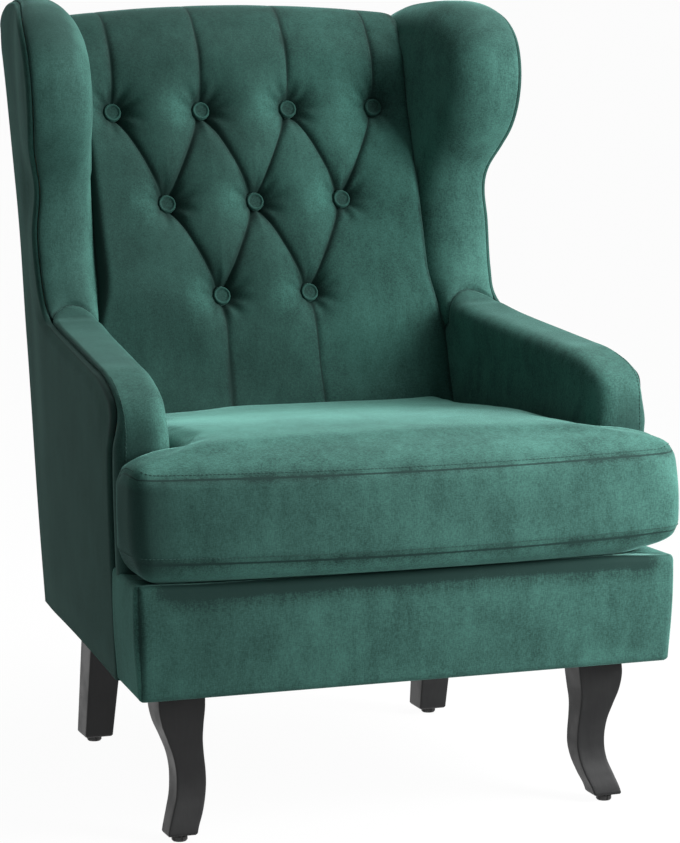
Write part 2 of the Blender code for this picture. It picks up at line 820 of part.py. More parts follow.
def back_pad(zone):
    """Tufted pad: pits at the buttons, sewn folds between them, rolled over at the top."""
    places = button_places()
    lines = fold_lines(places)

    def height(u, v, half):
        low = lift_wave(v / ROW_PITCH - 0.2)
        side = min(max((half - abs(u)) / PAD_SIDE_ROUND, 0.0), 1.0)
        crown = (LOW_PUFF + (PUFF - LOW_PUFF) * low) * math.sqrt(1 - (1 - side) ** 2)
        fade = lift_wave((PAD_TOP_RISE + PAD_TOP_ROUND - v) / PAD_TOP_ROUND)
        fold = min(line_distance(u, v, line) for line in lines)
        crown -= FOLD_DEPTH * (0.4 + 0.6 * low) * math.exp(-(fold / FOLD_WIDTH) ** 2) * side
        for button_u, button_v in places:
            reach = math.hypot(u - button_u, v - button_v)
            crown -= PIT_DEPTH * math.exp(-(reach / PIT_RADIUS) ** 2)
        over = min(max(v - PAD_TOP_RISE, 0.0), PAD_TOP_ROUND)
        return crown * fade + math.sqrt(PAD_TOP_ROUND ** 2 - over ** 2) - PAD_TOP_ROUND

    step = ROW_PITCH / PAD_STEPS
    floor_v = (DECK_TOP + GAP - SEAT_HEIGHT) / math.cos(RECLINE)
    rows = [floor_v]
    count = int((TOP_ROW_RISE - floor_v) / step - 0.4)
    rows.extend(TOP_ROW_RISE + k * step for k in range(-count, 1))
    rows.extend(TOP_ROW_RISE + k * step for k in range(1, int((PAD_TOP_RISE - TOP_ROW_RISE) / step + 0.6)))
    crest = math.pi / 2 - RECLINE
    rows.extend(PAD_TOP_RISE + PAD_TOP_ROUND * math.sin(crest * k / 3) for k in range(4))
    across = COLUMN_PITCH / PAD_STEPS
    narrow = min(pad_half(*pad_point(0.0, v, 0.0).yz) for v in rows)
    inner = int(narrow / across - 0.4)
    columns = 2 * (inner + 1)

    bm = bmesh.new()
    bmesh.ops.create_grid(bm, x_segments=columns, y_segments=len(rows) - 1, size=0.5)
    for vert in bm.verts:
        i = round((vert.co.x + 0.5) * columns) - inner - 1
        v = rows[round((vert.co.y + 0.5) * (len(rows) - 1))]
        half = pad_half(*pad_point(0.0, v, 0.0).yz)
        u = i * across
        if abs(i) > inner:
            u = math.copysign(half, i)
        near_top = lift_wave((v - TOP_ROW_RISE) / (PAD_TOP_RISE - TOP_ROW_RISE))
        arch = PAD_TOP_ARCH * (u / half) ** 2 * near_top
        h = height(u, v, half)
        place = pad_point(u, v - arch, h)
        if abs(i) > inner:
            place.x = math.copysign(pad_half(place.y, place.z), i)
        if v == floor_v:
            place.z = DECK_TOP + GAP
        vert.co = place
    rim = [edge for edge in bm.edges if edge.is_boundary]
    back = bmesh.ops.extrude_edge_only(bm, edges=rim)
    ring = [item for item in back["geom"] if isinstance(item, bmesh.types.BMEdge)]
    for item in back["geom"]:
        if isinstance(item, bmesh.types.BMVert):
            item.co.y = inner_rear(item.co.z)
            limit = pad_half(item.co.y, item.co.z)
            item.co.x = min(max(item.co.x, -limit), limit)
    bmesh.ops.edgeloop_fill(bm, edges=ring)
    pad = link("back_pad", mesh_of("back_pad", bm), VELVET)
    cut(pad, zone)
    return places


def buttons(places):
    """Covered domes on the pits of the back pad, facing out of the button plane."""
    name = "button"
    profile = [(0.0, 0.0), (BUTTON_RADIUS * 0.9, 0.0), (BUTTON_RADIUS, BUTTON_EDGE),
               (BUTTON_RADIUS * 0.86, BUTTON_CROWN * 0.62), (BUTTON_RADIUS * 0.5, BUTTON_CROWN * 0.92),
               (0.0, BUTTON_CROWN)]
    facing = Matrix.Rotation(math.pi / 2 - RECLINE, 4, "X")
    for number, (u, v) in enumerate(places, 1):
        place = Matrix.Translation(pad_point(u, v, BUTTON_LIFT)) @ facing
        turned("%s_%d" % (name, number), profile, 14, VELVET, place)


def turned(name, profile, steps, surface, place):
    """Turn a (radius, height) profile around its own Z."""
    data = bpy.data.meshes.new(name)
    bm = bmesh.new()
    line = [bm.verts.new((radius, 0.0, height)) for radius, height in profile]
    for pair in zip(line, line[1:]):
        bm.edges.new(pair)
    bm.to_mesh(data)
    bm.free()
    made = link(name, data, surface, place)
    screw = made.modifiers.new("turn", "SCREW")
    screw.steps = steps
    screw.render_steps = steps
    screw.use_merge_vertices = True
    screw.merge_threshold = 0.00001
    screw.use_normal_calculate = True
    return made


def cushion():
    """T-shaped boxed cushion: a cage with creased seams, crowned, smoothed by subdivision."""
    low = DECK_TOP + GAP
    seam_low = low + BAND_LOW
    seam_high = seam_low + BAND_HEIGHT
    ear_back = behind(ARM_NOSE_BACK) - CUSHION_SLACK
    front = FRONT_Y - CUSHION_FRONT
    columns = 8
    rows = 7
    puff = LOW_PUFF / math.cos(RECLINE) + CUSHION_SLACK

    def cage_x(i, y, z):
        ear = side_x(FRONT_Y, z) + CUSHION_EAR
        body = side_x(max(y, ear_back), z) - ARM_THICK - CUSHION_SLACK
        share = (0.0, 0.36, 0.72, 1.0)
        k = abs(i - columns // 2)
        x = ear if k == 4 else body * share[k]
        if k == 3 and abs(y - ear_back) < CUSHION_NOTCH + CUSHION_SLACK:
            x -= CUSHION_NOTCH
        return math.copysign(x, i - columns // 2)

    def cage_y(i, j, z):
        rear = pad_plane_y(z) - puff
        if j < 2:
            return front + (ear_back - front) * j / 2
        notch = CUSHION_NOTCH if j == 2 and abs(i - columns // 2) == 3 else 0.0
        return ear_back + (rear - ear_back) * (j - 2) / (rows - 2) - notch

    bm = bmesh.new()
    bmesh.ops.create_grid(bm, x_segments=columns, y_segments=rows, size=0.5)
    spots = {}
    for vert in bm.verts:
        spots[vert] = (round((vert.co.x + 0.5) * columns), round((vert.co.y + 0.5) * rows))
    gone = [f for f in bm.faces if abs(f.calc_center_median().x) > 0.5 - 1.0 / columns
            and f.calc_center_median().y > -0.5 + 2.0 / rows]
    bmesh.ops.delete(bm, geom=gone, context="FACES")
    layers = [(low, CUSHION_INSET), (seam_low, 0.0), ((seam_low + seam_high) / 2, -CUSHION_BULGE),
              (seam_high, 0.0), (seam_high + CUSHION_CROWN * 0.4, CUSHION_INSET)]
    spots = {v: spot for v, spot in spots.items() if v.is_valid}
    grid = {spot: tuple(v.co) for v, spot in spots.items()}
    spot_at = {place: spot for spot, place in grid.items()}
    top = bm.faces[:]
    levels = [list(spots)]
    for level in range(1, len(layers)):
        top, raised = next_ring(bm, top, level == 1)
        levels.append(raised)
    rim_spots = {spot for spot in grid if on_rim(spot, grid)}
    crease = bm.edges.layers.float.new("crease_edge")
    layer_of = {}
    for level, verts in enumerate(levels):
        for vert in verts:
            if vert.is_valid:
                layer_of[vert] = (level, spot_at[tuple(vert.co)])
    for vert, (level, (i, j)) in layer_of.items():
        z, inset = layers[level]
        y = cage_y(i, j, z)
        x = cage_x(i, y, z)
        if (i, j) in rim_spots:
            x, y = drawn_in(x, y, (i, j), grid, inset)
        elif level == len(layers) - 1:
            z = seam_high + CUSHION_CROWN * crown_share(i, j, columns, rows)
        vert.co = (x, y, z)
    for edge in bm.edges:
        first, second = (layer_of[v] for v in edge.verts)
        if first[0] == second[0] and first[0] in (1, 3):
            if first[1] in rim_spots and second[1] in rim_spots:
                edge[crease] = 0.55
    made = link("seat_cushion", mesh_of("seat_cushion", bm), VELVET)
    smooth = made.modifiers.new("smooth", "SUBSURF")
    smooth.levels = 1
    smooth.render_levels = 1


def on_rim(spot, grid):
    """True where a T-shaped cage has no cell on some side of the spot."""
    i, j = spot
    return any((i + a, j + b) not in grid for a in (-1, 0, 1) for b in (-1, 0, 1))


def drawn_in(x, y, spot, grid, inset):
    """Move a rim point inward by the inset, along the sides that have no neighbour.

    A bulge, which is a negative inset, is left out where the cushion faces the arms and the back.
    """
    i, j = spot
    if inset > 0 or j < 3:
        if (i + 1, j) not in grid:
            x -= inset
        if (i - 1, j) not in grid:
            x += inset
    if inset > 0 and (i, j + 1) not in grid:
        y -= inset
    if (i, j - 1) not in grid:
        y += inset
    return x, y


def crown_share(i, j, columns, rows):
    """Rise of the top between its rim and its middle, from 0.6 to 1."""
    across = 1 - abs(2 * i / columns - 1) ** 2
    along = 1 - abs(2 * j / rows - 1) ** 2
    return 0.55 + 0.45 * math.sqrt(across * along)


def square_leg(name, rings, surface):
    """A square leg through rings of four limits (x low, x high, y low, y high) by falling height."""
    bm = bmesh.new()
    z, (x0, x1, y0, y1) = rings[0]
    face = bm.faces.new([bm.verts.new(p) for p in ((x0, y0, z), (x1, y0, z), (x1, y1, z), (x0, y1, z))])
    middle = ((x0 + x1) / 2, (y0 + y1) / 2)
    for index, (z, (x0, x1, y0, y1)) in enumerate(rings[1:]):
        face = next_ring(bm, [face], index == 0)[0][0]
        places = {}
        for vert in face.verts:
            x = x0 if vert.co.x < middle[0] else x1
            y = y0 if vert.co.y < middle[1] else y1
            places[vert] = (x, y, z)
        for vert, place in places.items():
            vert.co = place
        middle = ((x0 + x1) / 2, (y0 + y1) / 2)
    made = link(name, mesh_of(name, bm), surface)
    return made


def leg_x(back):
    """Half distance between the middles of two legs whose tops are so far behind the base front."""
    return side_x(behind(back), BASE_BOTTOM) - LEG_SIDE


def front_leg(name, side, bolt, stud):
    """Cabriole leg: the outer and front faces swell at the knee, draw in at the ankle and kick out."""
    half = LEG_WIDTH / 2
    deep = LEG_DEPTH / 2
    height = LEG_TOP - LEG_BOTTOM
    out = [(1.0, half), (0.86, half + KNEE_OUT), (0.36, ANKLE_OUT), (0.0, FOOT_OUT)]
    inward = [(1.0, -half), (0.67, -CALF_IN), (0.36, -ANKLE_IN), (0.0, -FOOT_IN)]
    front = [(1.0, deep), (0.80, KNEE_FRONT), (0.45, SHIN_FRONT), (0.0, FOOT_FRONT)]
    back = [(1.0, -deep), (0.75, -CALF_BACK), (0.40, -ANKLE_BACK), (0.0, -FOOT_BACK)]
    rings = []
    steps = 14
    for k in range(steps + 1):
        t = 1 - k / steps
        outer = side * (leg_x(FRONT_LEG_BACK) + knot_curve(out, t))
        inner = side * (leg_x(FRONT_LEG_BACK) + knot_curve(inward, t))
        y_front = behind(FRONT_LEG_BACK) - knot_curve(front, t)
        y_back = behind(FRONT_LEG_BACK) - knot_curve(back, t)
        rings.append((LEG_BOTTOM + height * t, (min(outer, inner), max(outer, inner), y_front, y_back)))
    leg = square_leg(name, rings, BLACK_WOOD)
    bevel(leg, LEG_ARRIS, 1)
    cut(leg, bolt)
    cut(leg, stud)


def rear_leg(name, side, bolt, stud):
    rings = []
    foot_back = REAR_LEG_BACK + REAR_LEG_RUN
    for z, wide, deep, back in ((LEG_TOP, REAR_TOP_WIDTH, REAR_TOP_DEPTH, REAR_LEG_BACK),
                                (LEG_BOTTOM, REAR_FOOT_WIDTH, REAR_FOOT_DEPTH, foot_back)):
        x = side * leg_x(REAR_LEG_BACK)
        y = behind(back)
        rings.append((z, (x - wide / 2, x + wide / 2, y - deep / 2, y + deep / 2)))
    leg = square_leg(name, rings, BLACK_WOOD)
    bevel(leg, LEG_ARRIS, 1)
    cut(leg, bolt)
    cut(leg, stud)


def leg_bolt(name, x, y):
    """Hanger bolt from a leg into its corner block."""
    low = LEG_TOP - BOLT_IN_LEG
    high = RAIL_BOTTOM + BOLT_IN_BLOCK
    bm = bmesh.new()
    bmesh.ops.create_cone(bm, cap_ends=True, segments=14, radius1=BOLT_RADIUS, radius2=BOLT_RADIUS,
                          depth=high - low)
    place = Matrix.Translation((x, y, (low + high) / 2))
    link(name, mesh_of(name, bm), STEEL, place)


def glide(name, x, y):
    """Levelling glide: a notched head on the floor and a stud up into the leg."""
    rim = GLIDE_RADIUS
    top = GLIDE_HEAD
    profile = [(0.0, 0.0), (rim * 0.86, 0.0), (rim, top * 0.2), (rim, top * 0.75), (rim * 0.8, top),
               (GLIDE_STUD, top), (GLIDE_STUD, top + GLIDE_STUD_LENGTH), (0.0, top + GLIDE_STUD_LENGTH)]
    made = turned(name, profile, 24, PLASTIC, Matrix.Translation((x, y, 0.0)))
    bm = bmesh.new()
    for k in range(GLIDE_NOTCHES):
        angle = 2 * math.pi * (k + 0.5) / GLIDE_NOTCHES
        spot = Matrix.Translation((x + rim * math.cos(angle), y + rim * math.sin(angle), top * 0.4))
        bmesh.ops.create_cone(bm, cap_ends=True, segments=8, radius1=GLIDE_NOTCH, radius2=GLIDE_NOTCH,
                              depth=top, matrix=spot)
    cut(made, as_cutter(link("notches " + name, mesh_of("notches " + name, bm), None)))


def legs():
    """Four legs with bolts, glides and corner blocks; returns the bolt holes' cutters."""
    holes = []
    front_foot_x = leg_x(FRONT_LEG_BACK) + (FOOT_OUT - FOOT_IN) / 2
    front_foot_y = behind(FRONT_LEG_BACK) - (FOOT_FRONT - FOOT_BACK) / 2
    for label, front, side in (("front_left", True, -1), ("front_right", True, 1),
                               ("rear_left", False, -1), ("rear_right", False, 1)):
        if front:
            x, y = side * leg_x(FRONT_LEG_BACK), behind(FRONT_LEG_BACK)
            foot_x, foot_y = side * front_foot_x, front_foot_y
        else:
            x, y = side * leg_x(REAR_LEG_BACK), behind(REAR_LEG_BACK)
            foot_x, foot_y = x, behind(REAR_LEG_BACK + REAR_LEG_RUN)
        bolt = rod_cutter("bolt hole " + label, x, y, LEG_TOP - BOLT_IN_LEG - HOLE_GAP,
                          RAIL_BOTTOM + BLOCK_HEIGHT + HOLE_GAP, BOLT_RADIUS + HOLE_GAP)
        stud = rod_cutter("stud hole " + label, foot_x, foot_y, 0.0,
                          GLIDE_HEAD + GLIDE_STUD_LENGTH + HOLE_GAP, GLIDE_STUD + HOLE_GAP)
        block = corner_block("corner_block_" + label, side, front)
        cut(block, bolt)
        make = front_leg if front else rear_leg
        make("leg_" + label, side, bolt, stud)
        leg_bolt("leg_bolt_" + label, x, y)
        glide("glide_" + label, foot_x, foot_y)
        holes.append(bolt)
    return holes


seat_frame()
back_frame()
dust_cover(legs())
seat_springs()
seat_deck()
front_border()
ZONE = frame_zone()
arms(ZONE)
wings(ZONE)
outside_back()
buttons(back_pad(ZONE))
cushion()
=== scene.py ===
"""Looks of a buttoned velvet wing chair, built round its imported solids.

Each soft piece is a surface worked out as whole arrays.  Distances b run back from the base front,
x to the right and z up, in metres, so world y is FRONT_Y + b.
"""
import json
import math

import bmesh
import bpy
import numpy as np
from mathutils.bvhtree import BVHTree
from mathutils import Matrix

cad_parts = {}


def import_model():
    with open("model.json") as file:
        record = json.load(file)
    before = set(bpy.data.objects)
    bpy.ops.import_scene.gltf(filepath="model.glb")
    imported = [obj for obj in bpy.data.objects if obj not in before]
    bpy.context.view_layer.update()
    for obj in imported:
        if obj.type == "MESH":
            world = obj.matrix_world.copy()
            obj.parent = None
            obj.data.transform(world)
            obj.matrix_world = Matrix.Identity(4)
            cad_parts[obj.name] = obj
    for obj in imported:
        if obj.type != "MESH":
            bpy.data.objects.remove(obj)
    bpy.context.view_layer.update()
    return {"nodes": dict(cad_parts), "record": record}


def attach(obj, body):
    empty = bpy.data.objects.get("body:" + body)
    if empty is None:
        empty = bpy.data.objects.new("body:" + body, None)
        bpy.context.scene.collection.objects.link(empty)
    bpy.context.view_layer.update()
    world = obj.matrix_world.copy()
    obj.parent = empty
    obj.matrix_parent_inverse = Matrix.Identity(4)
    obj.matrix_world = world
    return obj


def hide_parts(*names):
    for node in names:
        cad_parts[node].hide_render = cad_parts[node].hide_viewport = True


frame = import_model()

FRONT_Y = -0.384
BASE_LOW = 0.191
DECK_Z = 0.327
SEAT_Z = 0.47
SEAT_B = 0.517
RECLINE = math.radians(20.3)
BASE_HALF = 0.35
TAPER = 0.0726
ARM_WIDE = 0.066
WING_WIDE = 0.089
SEAM_REACH = 0.008
SIDES = (("left", -1.0), ("right", 1.0))


def ease(value, width=1.0):
    """Smooth step 3t^2 - 2t^3 of t = value / width, held at 0 below and at 1 above."""
    t = np.clip(value / width, 0.0, 1.0)
    return t * t * (3 - 2 * t)


def bell(value, width=1.0):
    """Gaussian bump exp(-t^2) of t = value / width."""
    t = value / width
    return np.exp(-t * t)


def world(x, b, z):
    """Stack x, the distance behind the base front and height as world points."""
    x, b, z = np.broadcast_arrays(x, b, z)
    return np.stack([x, FRONT_Y + b, z], axis=-1)


def side_x(b, z):
    """The chair's side: a plane that tapers in towards the back and leans out with height."""
    return BASE_HALF - TAPER * b + 0.033 * (z - BASE_LOW)


def arm_top(b):
    """The straight arm top, rising to the back."""
    return 0.5648 + 0.076 * (b - 0.158)


def wing_x(b, z):
    """The wing's plane, splayed forward and leaning out from its root at the back."""
    root_b = 0.69
    root_z = arm_top(root_b)
    return side_x(root_b, root_z) - 0.004 - 0.108 * (b - root_b) + 0.056 * (z - root_z)


def outer_x(b, z):
    """Outside cover: the side plane eased into the wing plane, drawn in at the rear and the wing's neck."""
    lift = ease(z - arm_top(b) + 0.05, 0.2)
    rear = 0.0075 * ease(b - 0.52, 0.12) * (0.35 + 0.65 * ease(z - 0.25, 0.35))
    neck = 0.0092 * bell(z - 0.768, 0.046) - 0.0022
    neck = neck * ease(z - arm_top(b), 0.05) * (1 - ease(b - 0.57, 0.1))
    return side_x(b, z) + (wing_x(b, z) - side_x(b, z)) * lift - rear - neck


def inner_x(b, z):
    """Inside faces: the arm's inner plane eased into the wing's, which is set further in."""
    lift = ease(z - arm_top(b) + 0.07, 0.12)
    nose = 0.006 * ease(0.55 - z, 0.06) * ease(0.25 - b, 0.12)
    arm = side_x(b, z) - ARM_WIDE - nose
    return arm + (wing_x(b, z) - WING_WIDE - arm) * lift


def on(plane, flat):
    """A side plane's x at an array of (b, z) points."""
    return plane(flat[..., 0], flat[..., 1])


def rear_b(z):
    """The raked outside back."""
    return 0.613 + 0.2165 * (z - BASE_LOW)


def grid_faces(rows, cols, wrap=False):
    """Quads of a rows x cols lattice, joined round its columns if asked."""
    index = np.arange(rows * cols).reshape(rows, cols)
    if wrap:
        index = np.concatenate([index, index[:, :1]], axis=1)
    corners = index[:-1, :-1], index[:-1, 1:], index[1:, 1:], index[1:, :-1]
    return np.stack(corners, axis=-1).reshape(-1, 4)


def near(gap):
    """Closeness to a seam: 1 on it, falling in a straight line to 0 at SEAM_REACH."""
    return np.clip(1 - gap / SEAM_REACH, 0, 1)


def linked(name, data):
    """A new object of the scene."""
    made = bpy.data.objects.new(name, data)
    bpy.context.scene.collection.objects.link(made)
    return made


def mesh_piece(name, points, faces, finish, thick=0.0, closed=True, **marks):
    """A smooth-shaded piece with outward faces; thick turns an open sheet into a closed shell.

    Each mark is one value per point for the finish to read: painted shade for creases, dark seam lines, and
    a scale of the pile tone that carries pile direction and painted light and shade.
    """
    mesh = bpy.data.meshes.new(name)
    mesh.from_pydata(points.reshape(-1, 3).tolist(), [], [list(face) for face in faces])
    if closed:
        bm = bmesh.new()
        bm.from_mesh(mesh)
        if bm.calc_volume(signed=True) < 0:
            bmesh.ops.reverse_faces(bm, faces=bm.faces[:])
        bm.to_mesh(mesh)
        bm.free()
    for mark, values in marks.items():
        layer = mesh.attributes.new(mark, "FLOAT", "POINT")
        layer.data.foreach_set("value", np.asarray(values, np.float32).ravel())
    mesh.shade_smooth()
    mesh.materials.append(finish)
    piece = linked(name, mesh)
    if thick:
        shell = piece.modifiers.new("thickness", "SOLIDIFY")
        shell.thickness = thick
        shell.offset = -1.0
    return piece


def seat(piece, *nodes, body="chair", slot="velvet", fill=None):
    """Ride a piece on its body and stand it for its solids."""
    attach(piece, body)
    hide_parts(*nodes)


def lengths(line):
    """Length along a line of points up to each of them."""
    return np.concatenate([[0.0], np.cumsum(np.linalg.norm(np.diff(line, axis=0), axis=1))])


def between(at, run, line):
    """Points of a line at places along its run."""
    return np.stack([np.interp(at, run, column) for column in line.T], axis=-1)


def through(knots, step):
    """Evenly spaced points on a smooth curve through the knots (cubic Hermite, chord tangents)."""
    knots = np.asarray(knots, float)
    chord = lengths(knots)
    slope = np.gradient(knots, chord, axis=0)
    at = np.linspace(0, chord[-1], int(chord[-1] / step * 4))
    cell = np.clip(np.searchsorted(chord, at, side="right") - 1, 0, len(chord) - 2)
    span = (chord[cell + 1] - chord[cell])[:, None]
    t = (at - chord[cell])[:, None] / span
    fine = ((1 + 2 * t) * (1 - t) ** 2 * knots[cell] + t * (1 - t) ** 2 * span * slope[cell]
            + t * t * (3 - 2 * t) * knots[cell + 1] + t * t * (t - 1) * span * slope[cell + 1])
    run = lengths(fine)
    return between(np.linspace(0, run[-1], int(run[-1] / step) + 1), run, fine)


class Wire:
    """One shader value; arithmetic on it adds Math nodes to its finish."""

    def __init__(self, finish, socket):
        self.finish = finish
        self.socket = socket

    def __add__(self, other):
        return self.finish.math("ADD", self, other)

    def __sub__(self, other):
        return self.finish.math("SUBTRACT", self, other)

    def __rsub__(self, other):
        return self.finish.math("SUBTRACT", other, self)

    def __mul__(self, other):
        return self.finish.math("MULTIPLY", self, other)

    __radd__ = __add__
    __rmul__ = __mul__


class Finish:
    """The node sheet of a material or a world."""

    def __init__(self, name, library=bpy.data.materials):
        self.owner = library.new(name)
        self.owner.use_nodes = True
        self.tree = self.owner.node_tree
        self.tree.nodes.clear()

    def node(self, kind, settings=None, inputs=None, output=0):
        """Add any node, set its options and inputs, and return one of its outputs."""
        made = self.tree.nodes.new("ShaderNode" + kind)
        for key, value in (settings or {}).items():
            setattr(made, key, value)
        for key, value in (inputs or {}).items():
            if isinstance(value, Wire):
                self.tree.links.new(value.socket, made.inputs[key])
            else:
                made.inputs[key].default_value = value
        return Wire(self, made.outputs[output])

    def math(self, operation, first, second):
        return self.node("Math", {"operation": operation}, {0: first, 1: second})

    def place(self, scale=(1, 1, 1)):
        """The place on the piece in metres, stretched along each axis."""
        spot = self.node("TexCoord", output="Object")
        return self.node("Mapping", None, {"Vector": spot, "Scale": scale})

    def noise(self, size, scale=(1, 1, 1), detail=2.0, rough=0.5):
        """Noise of about 0 to 1 with features of the given size in metres."""
        inputs = {"Vector": self.place(scale), "Scale": 1 / size, "Detail": detail, "Roughness": rough}
        return self.node("TexNoise", None, inputs)

    def ramp(self, value, low, high):
        """The value stretched so that low gives 0 and high gives 1."""
        return self.node("MapRange", None, {0: value, 1: low, 2: high})

    def held(self, value):
        """The value kept between 0 and 1."""
        return self.node("Clamp", None, {0: value})

    def mark(self, name):
        """One of the marks that a piece carries on its points."""
        return self.node("Attribute", {"attribute_name": name}, output=2)

    def seen(self):
        """1 for what the camera sees straight, in a reflection or through glass."""
        ways = ("Camera", "Glossy", "Transmission")
        straight, glossy, glass = (self.node("LightPath", output="Is %s Ray" % way) for way in ways)
        return straight + glossy + glass

    def end(self, shader, kind="OutputMaterial"):
        """Join a shader to the output, and return the material or world."""
        out = self.tree.nodes.new("ShaderNode" + kind)
        self.tree.links.new(shader.socket, out.inputs["Surface"])
        return self.owner

    def surface(self, tone, dark, pale, inputs, height=None, depth=0.0, strength=1.0):
        """Principled shader whose tone runs between two colours, with a bump of the given depth."""
        base = self.node("Mix", {"data_type": "RGBA"}, {0: tone, 6: (*dark, 1.0), 7: (*pale, 1.0)}, 2)
        inputs["Base Color"] = base
        if height is not None:
            bump = {"Height": height, "Distance": depth, "Strength": strength}
            inputs["Normal"] = self.node("Bump", None, bump)
        return self.end(self.node("BsdfPrincipled", None, inputs))


def velvet_finish(name, deep, lit, sheen):
    """Short-pile velvet: patches, streaks and fine grain make the pile tone, which a piece's mark scales.

    The mark holds pile direction and painted light and shade.  Painted shade darkens creases; seam lines
    and patches beside a seam are darker.
    """
    cloth = Finish(name)
    patches = cloth.ramp(cloth.noise(0.085, detail=4.0, rough=0.6), 0.36, 0.66)
    streaks = cloth.ramp(cloth.noise(0.026, (1.6, 1.6, 0.4), 4.0, 0.6), 0.34, 0.68)
    grain = (cloth.noise(0.0017, (1.2, 1.2, 0.35), rough=0.6) * 0.5
             + cloth.noise(0.0017, (0.45, 0.45, 1.6), rough=0.6) * 0.5)
    pile = cloth.noise(0.0009, detail=1.0)
    nap = patches * 0.26 + streaks * 0.16 + cloth.ramp(grain, 0.38, 0.62) * 0.36 + 0.08
    line = cloth.ramp(cloth.mark("seam"), 0.84, 0.97)
    # Darker in patches beside a seam.
    seam_patches = cloth.mark("seam") * (1 - patches) * 0.35
    # A piece's mark scales the pile tone up as painted light and down as painted shade, and the mark of
    # creases subtracts painted shade.
    shade = nap * (1 + cloth.mark("nap") * 2) - cloth.mark("crease") * 0.7 - line * 0.8 - seam_patches
    looks = {"Roughness": 0.92 - nap * 0.12, "Specular IOR Level": 0.25, "Sheen Weight": sheen,
             "Sheen Roughness": 0.24, "Sheen Tint": (0.38, 0.86, 0.76, 1.0)}
    return cloth.surface(cloth.held(shade), deep, lit, looks, grain * 0.5 + pile * 0.5, 0.0006, 0.5)


def wood_finish(name, dark, pale):
    """Bare timber: long grain streaks along the piece with fine pores."""
    timber = Finish(name)
    grain = timber.noise(0.01, (1.0, 0.16, 0.5), 4.0, 0.6)
    pores = timber.noise(0.0016, (1.0, 0.08, 0.4))
    tone = timber.ramp(grain * 0.75 + pores * 0.25, 0.34, 0.66)
    return timber.surface(tone, dark, pale, {"Roughness": 0.6 + pores * 0.15}, pores, 0.0004, 0.4)


def lacquer_finish():
    """Black satin lacquer on wood: faint upright grain, brush mottling and small dull patches."""
    coat = Finish("black lacquered wood")
    grain = coat.noise(0.004, (1.0, 1.0, 0.1), 3.0, 0.6)
    cloud = coat.ramp(coat.noise(0.035, detail=3.0, rough=0.6), 0.35, 0.7)
    tone = coat.held(grain * 0.6 + cloud * 0.4)
    looks = {"Roughness": 0.36 + cloud * 0.14 + grain * 0.06, "Specular IOR Level": 0.28}
    return coat.surface(tone, (0.005, 0.005, 0.006), (0.016, 0.017, 0.017), looks, grain, 0.0003, 0.35)


def metal_finish():
    """Oil-tempered and plated steel with drawn streaks."""
    steel = Finish("spring steel")
    streak = steel.noise(0.003, (1.0, 0.2, 1.0), 3.0)
    looks = {"Metallic": 1.0, "Roughness": 0.3 + streak * 0.2}
    return steel.surface(steel.ramp(streak, 0.3, 0.7), (0.3, 0.3, 0.31), (0.5, 0.5, 0.5), looks)


def woven_finish(name, dark, pale, pitch):
    """Plain cloth: two crossed sets of threads as a bump, with a little uneven dye."""
    cloth = Finish(name)
    threads = {"Vector": cloth.place(), "Scale": 0.314 / pitch, "Distortion": 0.4}
    across, along = (cloth.node("TexWave", {"wave_type": "BANDS", "bands_direction": way}, threads, 1)
                     for way in ("X", "Y"))
    weave = across * along
    tone = cloth.noise(0.02, detail=3.0)
    looks = {"Roughness": 0.95 - tone * 0.1}
    return cloth.surface(tone * 0.6 + weave * 0.4, dark, pale, looks, weave, 0.0004, 0.5)


def plastic_finish():
    """Matte black moulded plastic with a fine spark-eroded grain and scuffs."""
    shell = Finish("black glide plastic")
    grain = shell.noise(0.0008)
    scuff = shell.ramp(shell.noise(0.006, detail=3.0), 0.5, 0.75)
    looks = {"Roughness": 0.5 + scuff * 0.2}
    return shell.surface(scuff, (0.012, 0.012, 0.012), (0.035, 0.035, 0.034), looks, grain, 0.0002, 0.4)


DEEP_GREEN = (0.007, 0.031, 0.026)
LIT_GREEN = (0.06, 0.185, 0.153)
VELVET = velvet_finish("green velvet", DEEP_GREEN, LIT_GREEN, 0.55)
# A darker copy of the velvet, for pile laid down and as painted shade, on the outside covers, back pad and
# buttons.
VELVET_PILE_DOWN_SHADE = velvet_finish("green velvet, pile down and painted shade", (0.0035, 0.021, 0.017), (0.028, 0.107, 0.087), 0.28)
# A copy with less sheen, as painted shade on the arms and the left wing.
VELVET_LOW_SHEEN_SHADE = velvet_finish("green velvet, less sheen for painted shade", DEEP_GREEN, LIT_GREEN, 0.36)
THREAD = woven_finish("green thread", (0.012, 0.05, 0.042), (0.03, 0.1, 0.082), 0.0006)
BLACK_WOOD = lacquer_finish()
HARDWOOD = wood_finish("raw hardwood", (0.3, 0.18, 0.09), (0.52, 0.36, 0.2))
PLYWOOD = wood_finish("birch plywood", (0.45, 0.32, 0.18), (0.64, 0.5, 0.32))
STEEL = metal_finish()
WEBBING = woven_finish("back webbing", (0.05, 0.045, 0.04), (0.12, 0.105, 0.09), 0.003)
LINING = woven_finish("black lining", (0.01, 0.01, 0.01), (0.028, 0.028, 0.028), 0.0012)
PLASTIC = plastic_finish()

